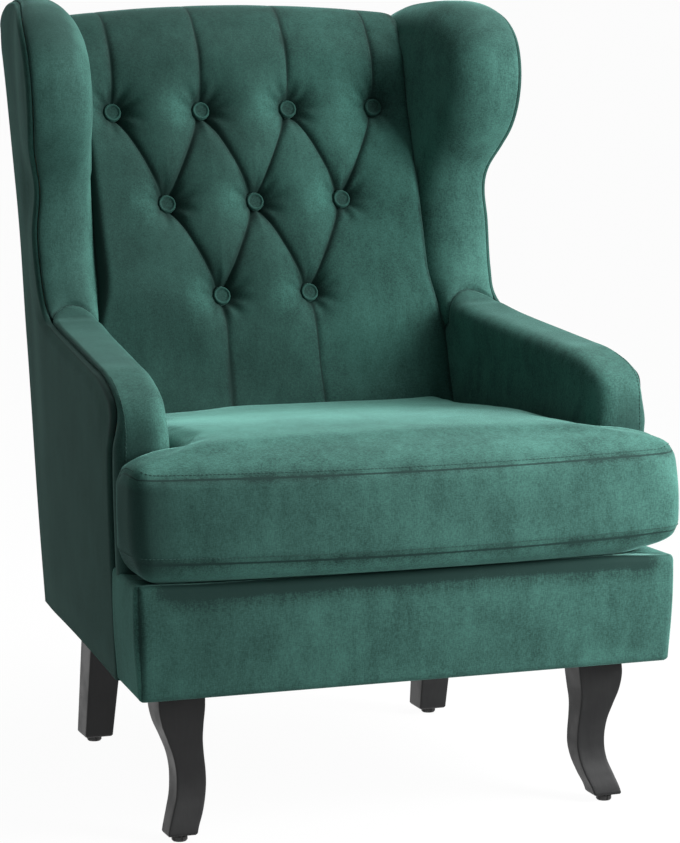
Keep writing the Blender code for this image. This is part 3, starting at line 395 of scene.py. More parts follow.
# The seam where the padded edges of arm and wing meet the outside cover, as (b, z).
ARM_KNOTS = [
    (0.128, 0.3), (0.128, 0.35), (0.1265, 0.4), (0.1245, 0.44), (0.1215, 0.465), (0.1165, 0.483),
    (0.109, 0.499), (0.102, 0.514), (0.098, 0.529), (0.1025, 0.5425), (0.12, 0.5525), (0.146, 0.5605),
    *[(b, arm_top(b)) for b in (0.175, 0.22, 0.27, 0.33, 0.39)], (0.44, 0.5868), (0.475, 0.5911)]
WING_KNOTS = [
    (0.509, 0.5965), (0.532, 0.613), (0.5455, 0.64), (0.5555, 0.675), (0.5615, 0.71), (0.564, 0.745),
    (0.556, 0.782), (0.533, 0.815), (0.511, 0.845), (0.4985, 0.88), (0.498, 0.921), (0.513, 0.96),
    (0.545, 0.988), (0.592, 1.0045), (0.64, 1.0075), (0.69, 1.0055), (0.738, 0.999), (0.769, 0.987),
    (0.781, 0.97)]
EDGE_STEP = 0.0045


def seam_path(knots):
    """Evenly spaced seam points, their inward normals and their run from the start."""
    line = through(knots, EDGE_STEP)
    along = np.gradient(line, axis=0)
    along /= np.linalg.norm(along, axis=1)[:, None]
    inward = np.stack([along[:, 1], -along[:, 0]], axis=1)
    run = np.arange(len(line)) * EDGE_STEP
    return line, inward, run


def smoothed(values, reach):
    """Running bell-weighted mean along the first axis, with the end values held."""
    weights = bell(np.arange(-2 * reach, 2 * reach + 1), reach)
    held = np.pad(values, ((2 * reach, 2 * reach), (0, 0)), "edge")
    columns = [np.convolve(column, weights / weights.sum(), "valid") for column in held.T]
    return np.stack(columns, axis=1)


# The edge and its inward directions, which run straight back in front of the arm.
EDGE, EDGE_IN, EDGE_RUN = seam_path(ARM_KNOTS + WING_KNOTS)
FRONT_ON = ease(0.575 - EDGE[:, 1], 0.075) * (EDGE[:, 0] < 0.2)
EDGE_IN = EDGE_IN * (1 - FRONT_ON[:, None]) + np.array([1.0, 0.0]) * FRONT_ON[:, None]
EDGE_IN = smoothed(EDGE_IN, 4)
FILLET_RUN = EDGE_RUN[np.argmax(EDGE[:, 0] > 0.44)]
JOIN_RUN = EDGE_RUN[np.argmax(EDGE[:, 0] > 0.507)]


def runs_at(spots):
    """Run along the edge of the points nearest to the given (b, z) spots."""
    return EDGE_RUN[[np.argmin(np.hypot(*(EDGE - spot).T)) for spot in spots]]


def along_edge(stops):
    """A value along the edge from stops of b, z and the value at the point nearest to them."""
    stops = np.array(stops)
    return np.interp(EDGE_RUN, runs_at(stops[:, :2]), stops[:, 2])


# How far the outside cover turns in over the edge before its seam.
TURN_IN = along_edge([
    (0.128, 0.3, 0.002), (0.1165, 0.483, 0.003), (0.098, 0.529, 0.006), (0.175, 0.566, 0.008),
    (0.39, 0.582, 0.008), (0.5615, 0.71, 0.003), (0.545, 0.988, 0.003), (0.64, 1.0075, 0.006),
    (0.781, 0.97, 0.006)])

# How far the padded edge stands out from the seam, most at the foot of the arm's nose.
STAND_OUT = along_edge([
    (0.128, 0.3, 0.0475), (0.1215, 0.465, 0.041), (0.1165, 0.483, 0.036), (0.109, 0.499, 0.027),
    (0.102, 0.514, 0.0205), (0.098, 0.529, 0.0125), (0.1025, 0.5425, 0.008), (0.142, 0.562, 0.0064),
    (0.475, 0.589, 0.0064), (0.5455, 0.64, 0.0012)])

# Rows of (b, z) on the edge and (b, z) where the inner face ends, behind cushion and back pad.
SPINE_STOPS = np.array([
    (0.128, 0.3, 0.175, 0.318), (0.158, 0.565, 0.27, 0.318), (0.4, 0.583, 0.5, 0.318),
    (0.507, 0.596, 0.596, 0.52), (0.5615, 0.71, 0.64, 0.625), (0.546, 0.797, 0.675, 0.7),
    (0.501, 0.9, 0.718, 0.82), (0.595, 1.001, 0.752, 0.905), (0.781, 0.97, 0.776, 0.962)])
SPINE_RUN = runs_at(SPINE_STOPS[:, :2])

# Steps across a padded edge: its outer round, flat, inner turn, inner face and the way back.
ROUND_STEPS = 8
FLAT_STEPS = 5
TURN_STEPS = 12
ROLL = ROUND_STEPS + FLAT_STEPS + TURN_STEPS + 1
INNER_STEPS = 22
BACK_STEPS = 5


def roll_profile(wing, ahead):
    """Section across the padded edge as depth in from the seam (d) and across its width (w).

    An ellipse quarter rises from the outer seam, a flat crosses the edge, and a larger quarter turns
    into the inner face; `wing` blends the arm's section into the wing's fuller one, and `ahead` is how
    far the arm's edge stands in front of its seam.
    """
    width = ARM_WIDE + 0.023 * wing
    dome = ahead + 0.0048 * wing
    start = 0.005 + 0.019 * wing + 0.002 * ease(ahead, 0.03)
    turn_w = 0.028 + 0.032 * wing
    turn_d = 0.034 + 0.012 * wing
    square = 0.75 + 0.25 * wing
    first = np.radians(np.linspace(0, 90, ROUND_STEPS + 1))[:, None]
    last = np.radians(np.linspace(0, 90, TURN_STEPS + 1))[:, None]
    last_w = np.sin(last) ** square
    last_d = 1 - np.clip(np.cos(last), 0, 1) ** square
    mid = np.linspace(0, 1, FLAT_STEPS + 1)[1:-1, None]
    w = np.concatenate([start * (1 - np.cos(first)), start + (width - turn_w - start) * mid,
                        width - turn_w + turn_w * last_w])
    d = np.concatenate([dome * (1 - np.sin(first)), 0 * width * mid, turn_d * last_d])
    return d.T - dome[:, None], (w / width).T


def padded_edge(part):
    """Closed pad of an arm or a wing on the right side, as rows of closed section loops.

    Each loop runs from the outer seam over the padded edge and down the inner face to a spine behind
    the cushion and back pad, then returns just inside the outside cover.  Arm and wing meet in a
    tongue-shaped seam, where both surfaces dip.  Returns the points, their closeness to a seam and
    their painted light and shade: a painted highlight at the nose's inner turn, painted light on the
    inner faces, and painted shade at the nose's outer side, the arm's top and the wing's crest.
    """
    tongue = 0.026 * np.sin(np.pi * roll_profile(np.array([0.35]), np.array([0.0012]))[1][0] ** 0.9)
    join = JOIN_RUN + np.concatenate([tongue, np.zeros(INNER_STEPS + BACK_STEPS)])
    rows = 150
    crowding = 1.35
    t = np.linspace(0, 1, rows)[:, None]
    if part == "arm":
        run = (1 - (1 - t) ** crowding) * join
    else:
        run = join + t ** crowding * (EDGE_RUN[-1] - join)
    gap = np.abs(run - join)
    wing = ease(run - FILLET_RUN, 0.16)
    ahead = np.interp(run[:, :1], EDGE_RUN, STAND_OUT)
    foot = ease(ahead - 0.01, 0.025)
    seam = between(run, EDGE_RUN, EDGE)
    inward = between(run, EDGE_RUN, EDGE_IN)
    d, share = roll_profile(wing[:, 0], ahead[:, 0])
    head = seam[:, :ROLL] + d[..., None] * inward[:, :ROLL]
    swell = 0.007 * foot * np.sin(np.pi * np.clip(np.arange(ROLL) / ROUND_STEPS, 0, 1))
    head_x = on(outer_x, head) - np.interp(run[:, :ROLL], EDGE_RUN, TURN_IN) + swell
    head_x = head_x + (on(inner_x, head) - head_x) * share
    head_x = head_x - 0.008 * (1 - ease(head[..., 1] - 0.302, 0.03)) * (1 - share)
    spine = between(run, SPINE_RUN, SPINE_STOPS[:, 2:])
    q = np.linspace(0, 1, INNER_STEPS + 1)[1:]
    start = head[:, -1:]
    face = start + (spine[:, ROLL:-BACK_STEPS] - start) * q[:, None]
    puff = 0.005 * np.sin(np.pi * np.minimum(q * 1.2, 1.0)) ** 2 * (0.4 + 0.6 * wing[:, ROLL:-BACK_STEPS])
    q = np.linspace(0, 1, BACK_STEPS + 1)[:-1]
    end = spine[:, -BACK_STEPS:]
    behind = end + (seam[:, :1] - end) * q[:, None]
    x = np.concatenate([head_x, on(inner_x, face) - puff, on(outer_x, behind) - 0.009], axis=1)
    b, z = np.moveaxis(np.concatenate([head, face, behind], axis=1), -1, 0)
    points = world(x, b, z)
    dip = 0.003 * bell(gap, 0.0045) + 0.0016 * bell(gap, 0.014)
    step = np.linalg.norm(np.diff(points, axis=1), axis=-1)
    edge_gap = np.concatenate([0 * step[:, :1], np.cumsum(step, axis=1)], axis=1)
    rim = 0.0006 * bell(edge_gap, 0.0016)
    normal = np.cross(np.gradient(points, axis=0), np.gradient(points, axis=1))
    normal /= np.linalg.norm(normal, axis=-1)[..., None] + 1e-12
    away = points - points.mean(axis=1, keepdims=True)
    outwards = np.sign((normal * away)[:, :ROLL].sum())
    column = np.arange(x.shape[1])
    depth = (dip + rim) * (column < ROLL + INNER_STEPS)
    points = points - outwards * normal * depth[..., None]
    inside = np.concatenate([share, np.ones(face.shape[:2]), np.zeros(behind.shape[:2])], axis=1)
    edge_on = 1 - ease(inside - 0.6, 0.4)
    nose = ease(ahead - 0.007, 0.008)
    # Painted light and shade: a highlight on the nose's inner turn, light on the inner faces, shade at the
    # nose's foot, the arm's top and the wing's crest.
    bright = 0.5 * nose * bell(inside - 0.92, 0.2) * (1 - ease(column - ROLL + 4, 6))
    dark = 0.26 * foot * (1 - ease(inside - 0.35, 0.45))
    on_top = 0.24 * ease(seam[:, :1, 0] - 0.15, 0.08) * (1 - wing[:, :1]) * edge_on
    crest = 0.18 * ease(z - 0.93, 0.05) * edge_on
    hollow = 0.26 * ease(inside - 0.6, 0.4) * (1 - nose)
    line = near(np.minimum(gap, edge_gap + 0.005 * wing[:, :1]))
    return points, line, bright + hollow - dark - on_top - crest


def mirrored(points, side):
    """The right side's points or their mirror image; the crest's rear is raised left, lowered right."""
    placed = points * np.array([side, 1.0, 1.0])
    rear = ease(points[..., 1] - FRONT_Y - 0.57, 0.13)
    placed[..., 2] -= (0.006 * side - 0.0035) * rear * ease(points[..., 2] - 0.94, 0.04)
    return placed


def capped(rows, cols):
    """Faces of rows of closed loops with a cap on the first and the last loop."""
    faces = grid_faces(rows, cols, wrap=True).tolist()
    faces.append(list(range(cols))[::-1])
    faces.append(list(range((rows - 1) * cols, rows * cols)))
    return faces


def pads():
    """Arm and wing pads of both sides, and the stitches beside the seam of each arm's nose."""
    nose_low = 0.44
    nose_back = FRONT_Y + 0.16
    for part, lit in (("arm", 0.03), ("wing", 0.11)):
        points, seam, nap = padded_edge(part)
        faces = capped(*points.shape[:2])
        for label, side in SIDES:
            placed = mirrored(points, side)
            # The left wing and both arms take the duller velvet as painted shade, and the mark is raised on
            # the right and lowered on the left, as painted light and shade.
            finish = VELVET if part == "wing" and side > 0 else VELVET_LOW_SHEEN_SHADE
            piece = mesh_piece("%s_cover_%s" % (part, label), placed, faces, finish, seam=seam,
                               nap=nap + lit * side - 0.05)
            seat(piece, "%s_pad_%s" % (part, label), fill=0.8)
            if part == "arm":
                beside = points[:, ROUND_STEPS]
                line = placed[(beside[:, 2] > nose_low) & (beside[:, 1] < nose_back), ROUND_STEPS]
                stitching("arm_stitching_" + label, [stitch_row(line, surface_tree(piece))], "chair")


def outside_panels():
    """Outside cover of arm and wing: straight rulings from the front seam to the rear edge.

    It swells a little between its edges and turns in over the padded edge in a small round.
    """
    base_z = 0.19
    foot = [(0.1265, z) for z in (base_z, 0.215, 0.24, 0.265)]
    line, _, run = seam_path(foot + ARM_KNOTS + WING_KNOTS)
    stops = [0.0, run[np.argmax(line[:, 1] > 0.53)], run[np.argmax(line[:, 0] > 0.5)], run[-1]]
    rear_z = np.interp(run, stops, (0.1938, 0.4, 0.6, 0.97))
    rear = np.stack([rear_b(rear_z) - 0.001, rear_z], axis=1)
    q = np.linspace(0, 1, 46)[None, :, None] ** 1.5
    flat = line[:, None] + (rear - line)[:, None] * q
    arch = np.sin(np.pi * q[..., 0])
    flat[..., 1] += 0.003 * arch * (1 - ease(flat[..., 1] - base_z, 0.1))
    b, z = np.moveaxis(flat, -1, 0)
    swell = 0.0035 * np.clip(arch, 0, 1) ** 0.7 * ease(z - base_z, 0.05)
    gap = np.linalg.norm(flat - line[:, None], axis=-1)
    turned_in = np.interp(run - (run[-1] - EDGE_RUN[-1]), EDGE_RUN, TURN_IN)[:, None]
    lean = np.maximum(turned_in - 0.003, 0) * (1 - ease(gap, 0.07))
    shoulder = 0.0065 * (1 - np.sqrt(1 - near(gap) ** 2)) + lean
    points = world(outer_x(b, z) + 0.0038 + swell - shoulder, b, z)
    # Painted shade: the cover is darker low down and lighter towards the top, and darker beside the arm's
    # seam.
    nap = 0.35 * ease(z - 0.45, 0.35) - 0.28
    on_arm = ease(z - 0.49, 0.03) * (1 - ease(b - 0.46, 0.06))
    edge_shade = 0.8 * (1 - ease(gap - 0.003, 0.015)) * on_arm
    faces = grid_faces(*points.shape[:2])
    for label, side in SIDES:
        turned = faces if side > 0 else faces[:, ::-1]
        piece = mesh_piece("outside_cover_" + label, mirrored(points, side), turned, VELVET_PILE_DOWN_SHADE,
                           thick=0.004, closed=False, nap=nap, crease=edge_shade)
        seat(piece, "outside_arm_" + label, "outside_wing_" + label)


def outside_back():
    """Rear cover: rulings across the raked back plane, a few millimetres fuller in the middle.

    Its top edge is a shallow arch that laps the pad's turned-over end.
    """
    u = np.sin(np.linspace(-1, 1, 101) * math.pi / 2)[None, :]
    foot_z = 0.192
    top_z = 0.979 - 0.01 * u ** 2
    z = foot_z + (top_z - foot_z) * np.linspace(0, 1, 130)[:, None]
    half = np.minimum(outer_x(rear_b(z), z), side_x(rear_b(z), z) + 0.004)
    low = np.clip((z - 0.19) / 0.04, 0, 1) ** 0.5
    high = np.clip((top_z + 0.001 - z) / 0.03, 0, 1) ** 0.5
    b = rear_b(z) - 0.004 + 0.0045 * (1 - u ** 4) * low * high
    points = world(half * u, b, z)
    edge = np.minimum(half * (1 - np.abs(u)), np.minimum(z - 0.19, top_z + 0.002 - z))
    faces = grid_faces(*points.shape[:2])
    piece = mesh_piece("outside_back_cover", points, faces[:, ::-1], VELVET_PILE_DOWN_SHADE, thick=0.004,
                       closed=False, seam=near(edge))
    seat(piece, "outside_back")


def front_border():
    """Front border: an upright section carried round the front corners.

    The section turns under at the bottom, swells up the face and rolls over the top edge.  At each
    corner the arc's radius follows the section's offset o, so inner rows end in a mitre, and the top
    edge is a little higher at the left corner than at the right one.
    """
    roof = 0.322
    face_z = np.linspace(0.194, roof, 28)
    face_o = 0.0025 + 0.005 * np.sin(np.pi * np.clip((face_z - 0.185) / 0.175, 0, 1)) ** 1.2
    angle = np.radians(np.linspace(0, 90, 12))[1:]
    roll_o = face_o[-1] - 0.008 + 0.008 * np.cos(angle)
    roll_z = roof + 0.009 * np.sin(angle)
    o = np.concatenate([[-0.016, -0.006, -0.002, 0.0005], face_o, roll_o, [-0.045]])[:, None]
    z = np.concatenate([[0.1897, 0.1895, 0.1902, 0.1918], face_z, roll_z, [0.3266]])[:, None]
    rho = np.maximum(0.006 + o, 0.0012)
    out = side_x(0.0, z) - 0.4 * np.maximum(o, 0) + o
    back_steps = 26
    corner_steps = 8
    back = np.linspace(0.1282, 0.014, back_steps)
    turn = np.radians(np.linspace(0, 90, corner_steps + 1))
    front = np.linspace(1, 0, 60)[1:]
    x = np.concatenate([out - TAPER * back, out - rho + rho * np.cos(turn), (out - rho) * front], axis=1)
    b = np.concatenate([np.maximum(back, rho - o), rho - o - rho * np.sin(turn), 0 * front - o], axis=1)
    x = np.concatenate([x, -x[:, -2::-1]], axis=1)
    b = np.concatenate([b, b[:, -2::-1]], axis=1)
    points = world(x, b, z)
    column = np.minimum(np.arange(x.shape[1]), np.arange(x.shape[1])[::-1])
    corner_at = back_steps + corner_steps // 2
    gap = np.abs(column - corner_at)
    away = points[..., :2] - np.array([0.0, FRONT_Y + 0.1])
    away /= np.linalg.norm(away, axis=-1)[..., None]
    points[..., :2] -= away * (0.0014 * bell(gap, 1.2) * ease(z - 0.195, 0.02))[..., None]
    lift = ease(-x - 0.26, 0.08) - 1.6 * ease(x - 0.26, 0.08)
    points[..., 2] += 0.0025 * lift * ease(z - 0.26, 0.05)
    # The side returns are lighter, for their pile direction and as painted light, the left part darker as
    # painted shade, and the top edge carries the cushion's painted shadow, fading at the ends.
    nap = 0.45 * (column < corner_at) - 0.14 * ease(-x - 0.05, 0.25)
    shaded = 0.5 * ease(z - 0.29, 0.03) + 0.5 * ease(z - 0.312, 0.008)
    shaded = shaded * (1 - ease(np.abs(x) - 0.3, 0.05))
    piece = mesh_piece("front_border_cover", points, grid_faces(*x.shape)[:, ::-1], VELVET, thick=0.003,
                       closed=False, seam=near(gap * 0.004) + 0 * x, nap=nap, crease=shaded)
    seat(piece, "front_border")


def pad_plane(v, h):
    """(b, z) of pad coordinates: v up the pad from seat height, h out of the button plane."""
    return (SEAT_B + v * math.sin(RECLINE) - h * math.cos(RECLINE),
            SEAT_Z + v * math.cos(RECLINE) + h * math.sin(RECLINE))


COLUMN = 0.1275
ROW = 0.1324
TOP_ROW = 0.417
BUTTONS = np.array([(COLUMN * (k - (n - 1) / 2), TOP_ROW - row * ROW)
                    for row, n in enumerate((4, 3, 2)) for k in range(n)])


def fold_list():
    """Ends of the sewn folds: between neighbours in adjoining rows, up from the top, down to the seat."""
    folds = [(*a, *c) for a in BUTTONS for c in BUTTONS
             if 0 < a[1] - c[1] < 1.5 * ROW and abs(a[0] - c[0]) < COLUMN]
    folds += [(u, v, u, v + 0.4) for u, v in BUTTONS[:4]]
    folds += [(u, v, u * 1.14, v - 0.45) for u, v in BUTTONS[7:]]
    return np.array(folds)


def tuft_height(u, v, half):
    """Height of the tufted pad over its button plane, painted shade that deepens in its folds and button
    pits, and closeness to a fold.

    A crown falls off at the sides; each fold takes away a sharp exponential valley of its distance,
    and each button a steeper exponential pit with faint gathers that run out from it.
    """
    full = ease(v / ROW - 0.2)
    side = np.clip((half - np.abs(u)) / 0.018, 0, 1)
    height = (0.012 + 0.02 * full) * np.sqrt(1 - (1 - side) ** 2)
    valley = np.zeros(np.broadcast(u, v).shape)
    closest = np.full(valley.shape, 1.0)
    for a_u, a_v, c_u, c_v in fold_list():
        run = np.array([c_u - a_u, c_v - a_v])
        t = np.clip(((u - a_u) * run[0] + (v - a_v) * run[1]) / (run @ run), 0, 1)
        far = np.hypot(u - a_u - t * run[0], v - a_v - t * run[1])
        closest = np.minimum(closest, far)
        straight = 0.62 if abs(run[0]) < 0.02 else 1.0
        valley = np.maximum(valley, straight * (0.52 * np.exp(-far / 0.018) + 0.48 * np.exp(-far / 0.0035)))
    height = height - 0.011 * valley * (0.45 + 0.55 * full) * np.sqrt(side)
    sharp = np.zeros(valley.shape)
    for k, (b_u, b_v) in enumerate(BUTTONS):
        far = np.hypot(u - b_u, v - b_v)
        turn = np.arctan2(v - b_v, u - b_u)
        gathers = 0.0013 * np.cos(9 * turn + 1.7 * k) * bell(far - 0.026, 0.013)
        height = height - 0.046 * np.exp(-far / 0.021) + gathers
        sharp = np.maximum(sharp, 0.75 * np.exp(-np.maximum(far - 0.012, 0) / 0.009))
    ripple = 0.0009 * (np.sin(41 * u + 17 * v) * np.sin(29 * v - 13 * u + 1.0)
                       + 0.6 * np.sin(83 * u - 31 * v + 2.0) * np.sin(61 * v + 0.5))
    return height + ripple * side, np.clip(0.35 * valley ** 2 + sharp, 0, 1), near(closest)


def back_pad():
    """Tufted back: the height map set on a raked plane that rolls over its top to the rear cover.

    The section is drawn by its heading along its length v: straight up the plane, over the top in a
    45 mm round, and down inside the rear cover.  The diagonals of the grid's cells run along the folds.
    """
    cells = 40
    rise = ROW / cells
    low = (DECK_Z + 0.001 - SEAT_Z) / math.cos(RECLINE)
    flat_end = 0.537
    steps = np.arange(math.ceil((low - TOP_ROW) / rise + 0.3), math.floor((flat_end - TOP_ROW) / rise))
    over = np.linspace(flat_end, flat_end + 0.11, 70)
    v = np.concatenate([[low], TOP_ROW + rise * steps, over])[:, None]
    turn = np.radians(np.interp(v, flat_end + np.array([0, 0.0644, 0.0724, 0.0881]), (0, 82, 82, 172)))
    mean = (turn[1:] + turn[:-1]) / 2
    stride = np.diff(v, axis=0)
    base_v = low + np.concatenate([[[0.0]], np.cumsum(stride * np.cos(mean), axis=0)])
    base_h = -np.concatenate([[[0.0]], np.cumsum(stride * np.sin(mean), axis=0)])
    b0, z0 = pad_plane(base_v, base_h)
    tucked = 0.007
    half = inner_x(b0, z0) + tucked
    reach = 128
    inner = np.arange(-reach, reach + 1) * COLUMN / 2 / cells
    outer = inner[-1] + (half - inner[-1]) * np.sin(np.linspace(0, 1, 19)[1:] * math.pi / 2)
    u = np.concatenate([-outer[:, ::-1], inner + 0 * half, outer], axis=1)
    height, crease, fold = tuft_height(u, v, half)
    # Painted shade where the pad tucks under the wings, the left darker and the right lighter as painted
    # shade and light, and a painted highlight to the left of each button.
    crease = np.maximum(crease, 0.6 * ease(0.008 - (half - tucked - np.abs(u)), 0.006))
    nap = 0.32 * ease(u + 0.05, 0.25) - 0.18
    for b_u, b_v in BUTTONS:
        nap = nap + 0.42 * bell(np.hypot((u - b_u + 0.036) / 0.022, (v - b_v + 0.004) / 0.028))
    fade = 1 - 0.92 * ease(v - flat_end + 0.055, 0.11) - 0.06 * ease(v - flat_end - 0.07, 0.04)
    height = height * fade
    arch = 0.014 * (u / half) ** 2 * ease(v - TOP_ROW, flat_end - TOP_ROW)
    b, z = pad_plane(base_v - arch + height * np.sin(turn), base_h + height * np.cos(turn))
    front = world(u, b, z)
    rows, cols = front.shape[:2]
    index = np.arange(rows * cols).reshape(rows, cols)
    a, c, d, e = index[:-1, :-1], index[:-1, 1:], index[1:, 1:], index[1:, :-1]
    across = (u[:-1, :-1] + u[1:, 1:]) / COLUMN
    up = (v[:-1] + v[1:] - 2 * TOP_ROW) / 2 / ROW
    falling = (np.abs((across + up) % 2 - 1) < np.abs((across - up) % 2 - 1))[..., None]
    halves = (np.where(falling, np.stack([a, c, e], -1), np.stack([a, c, d], -1)),
              np.where(falling, np.stack([c, d, e], -1), np.stack([a, d, e], -1)))
    faces = np.concatenate(halves).reshape(-1, 3).tolist()
    rim = np.concatenate([index[0, :-1], index[:-1, -1], index[-1, :0:-1], index[:0:-1, 0]])
    flat = front.reshape(-1, 3)
    backing = flat[rim].copy()
    rear = FRONT_Y + rear_b(backing[:, 2])
    backing[:, 1] = np.minimum(np.maximum(rear - 0.045, backing[:, 1] + 0.012), rear - 0.016)
    ring = np.arange(len(rim)) + rows * cols
    faces += np.stack([rim, ring, np.roll(ring, -1), np.roll(rim, -1)], axis=1).tolist()
    faces.append(ring.tolist())
    blank = (0, len(rim))
    piece = mesh_piece("tufted_back", np.concatenate([flat, backing]), faces, VELVET_PILE_DOWN_SHADE,
                       crease=np.pad(crease.ravel(), blank), seam=np.pad(fold.ravel(), blank),
                       nap=np.pad(nap.ravel(), blank))
    seat(piece, "back_pad", fill=0.75)


def buttons():
    """Covered buttons: a dished profile turned round each button's axis, gathered at its rim."""
    profile = through([
        (0.0, 0.0046), (0.003, 0.0046), (0.006, 0.0047), (0.0084, 0.005), (0.0096, 0.0062), (0.011, 0.0064),
        (0.0124, 0.0042), (0.0131, 0.0008), (0.0127, -0.0014), (0.0108, -0.003), (0.0, -0.003)], 0.0009)
    radius, height = profile[:, :1], profile[:, 1:]
    turn = np.linspace(0, 2 * math.pi, 40, endpoint=False)
    r = radius * (1 + 0.012 * np.cos(13 * turn) * (height < 0.004))
    # Painted shade under the rim and on the button's dished face.
    crease = 0.5 * bell(height + 0.001, 0.0016) + 0 * turn + 0.35 * (1 - ease(radius - 0.008, 0.002))
    faces = capped(*r.shape)
    for number, (u, v) in enumerate(BUTTONS, 1):
        b, z = pad_plane(v + r * np.sin(turn), height + 0.0008)
        points = world(u + r * np.cos(turn), b, z)
        piece = mesh_piece("button_cover_%d" % number, points, faces, VELVET_PILE_DOWN_SHADE, crease=crease)
        seat(piece, "button_%d" % number, fill=1.0)


def tee(ear_half, body_half, front, step_back, rear, cell):
    """Lattice of a T-shaped panel, where columns past the body's exist only in the front rows.

    Returns x and b with the front and rear corners rounded by the square-to-disc map, the quads, the
    rim's indices in order and each point's distance from the rim's points.
    """
    inner = int(round(body_half(step_back) / cell))
    outer = inner + int(round((ear_half - body_half(step_back)) / cell))
    ahead = int(round((step_back - front) / cell))
    rows = ahead + int(round((rear - step_back) / cell))
    i = np.arange(-outer, outer + 1)[None, :]
    j = np.arange(rows + 1)[:, None]
    b = np.where(j <= ahead, front + (step_back - front) * j / ahead,
                 step_back + (rear - step_back) * (j - ahead) / (rows - ahead))
    body = body_half(np.maximum(b, step_back))
    size = np.minimum(np.abs(i) / inner, 1) * body
    size = size + np.clip((np.abs(i) - inner) / (outer - inner), 0, 1) * (ear_half - body_half(step_back))
    x = np.sign(i) * size
    b = b + 0 * x

    def rounded(x, b, edge_x, edge_b, way, radius):
        u = (np.abs(x) - (edge_x - radius)) / radius
        w = way * (b - (edge_b - way * radius)) / radius
        curved = (u > 0) & (w > 0)
        u2 = np.where(curved, u * np.sqrt(np.clip(1 - w * w / 2, 0, 1)), u)
        w2 = np.where(curved, w * np.sqrt(np.clip(1 - u * u / 2, 0, 1)), w)
        return np.sign(x) * (edge_x - radius + u2 * radius), edge_b - way * radius + way * w2 * radius

    x, b = rounded(x, b, ear_half, front, -1.0, 0.022)
    x, b = rounded(x, b, ear_half, step_back, 1.0, 0.014)
    x, b = rounded(x, b, body_half(rear), rear, 1.0, 0.03)
    wide = 2 * outer + 1
    index = np.arange((rows + 1) * wide).reshape(rows + 1, wide)
    faces = grid_faces(rows + 1, wide).reshape(rows, wide - 1, 4)
    cells_i = np.arange(-outer, outer)[None, :]
    keep = (np.arange(rows)[:, None] < ahead) | ((cells_i >= -inner) & (cells_i < inner))
    faces = faces[keep]
    left, right = outer - inner, outer + inner
    rim = np.concatenate([
        index[0, :-1], index[:ahead, -1], index[ahead, :right:-1], index[ahead:rows, right],
        index[rows, right:left:-1], index[rows:ahead:-1, left], index[ahead, left:0:-1],
        index[ahead:0:-1, 0]])
    used = np.unique(faces)
    renumber = np.full(index.size, -1)
    renumber[used] = np.arange(len(used))
    x, b, rim = x.ravel()[used], b.ravel()[used], renumber[rim]
    gap = np.hypot(x[:, None] - x[rim], b[:, None] - b[rim]).min(axis=1)
    return x, b, renumber[faces], rim, gap


def boxed(faces, loops, under):
    """A panel's faces, the same turned over from point `under` on, and walls between loops of points."""
    after = np.roll(loops, -1, axis=1)
    walls = np.stack([loops[:-1], loops[1:], after[1:], after[:-1]], axis=-1).reshape(-1, 4)
    return np.concatenate([faces, faces[:, ::-1] + under, walls])


CUSHION_LOW = 0.3625
CUSHION_HIGH = 0.4625
EAR_HALF = 0.3605


def rest_height(b):
    """Top of what the cushion lies on: the deck, and ahead of it the border's rolled edge."""
    front = -0.007
    roll = np.clip((b - front) / 0.008, 0, 1)
    rolled = 0.323 + 0.0095 * np.sqrt(1 - (1 - roll) ** 2) - 0.004 * ease(b - 0.006, 0.035)
    return np.where(b < front, 0.3, rolled)


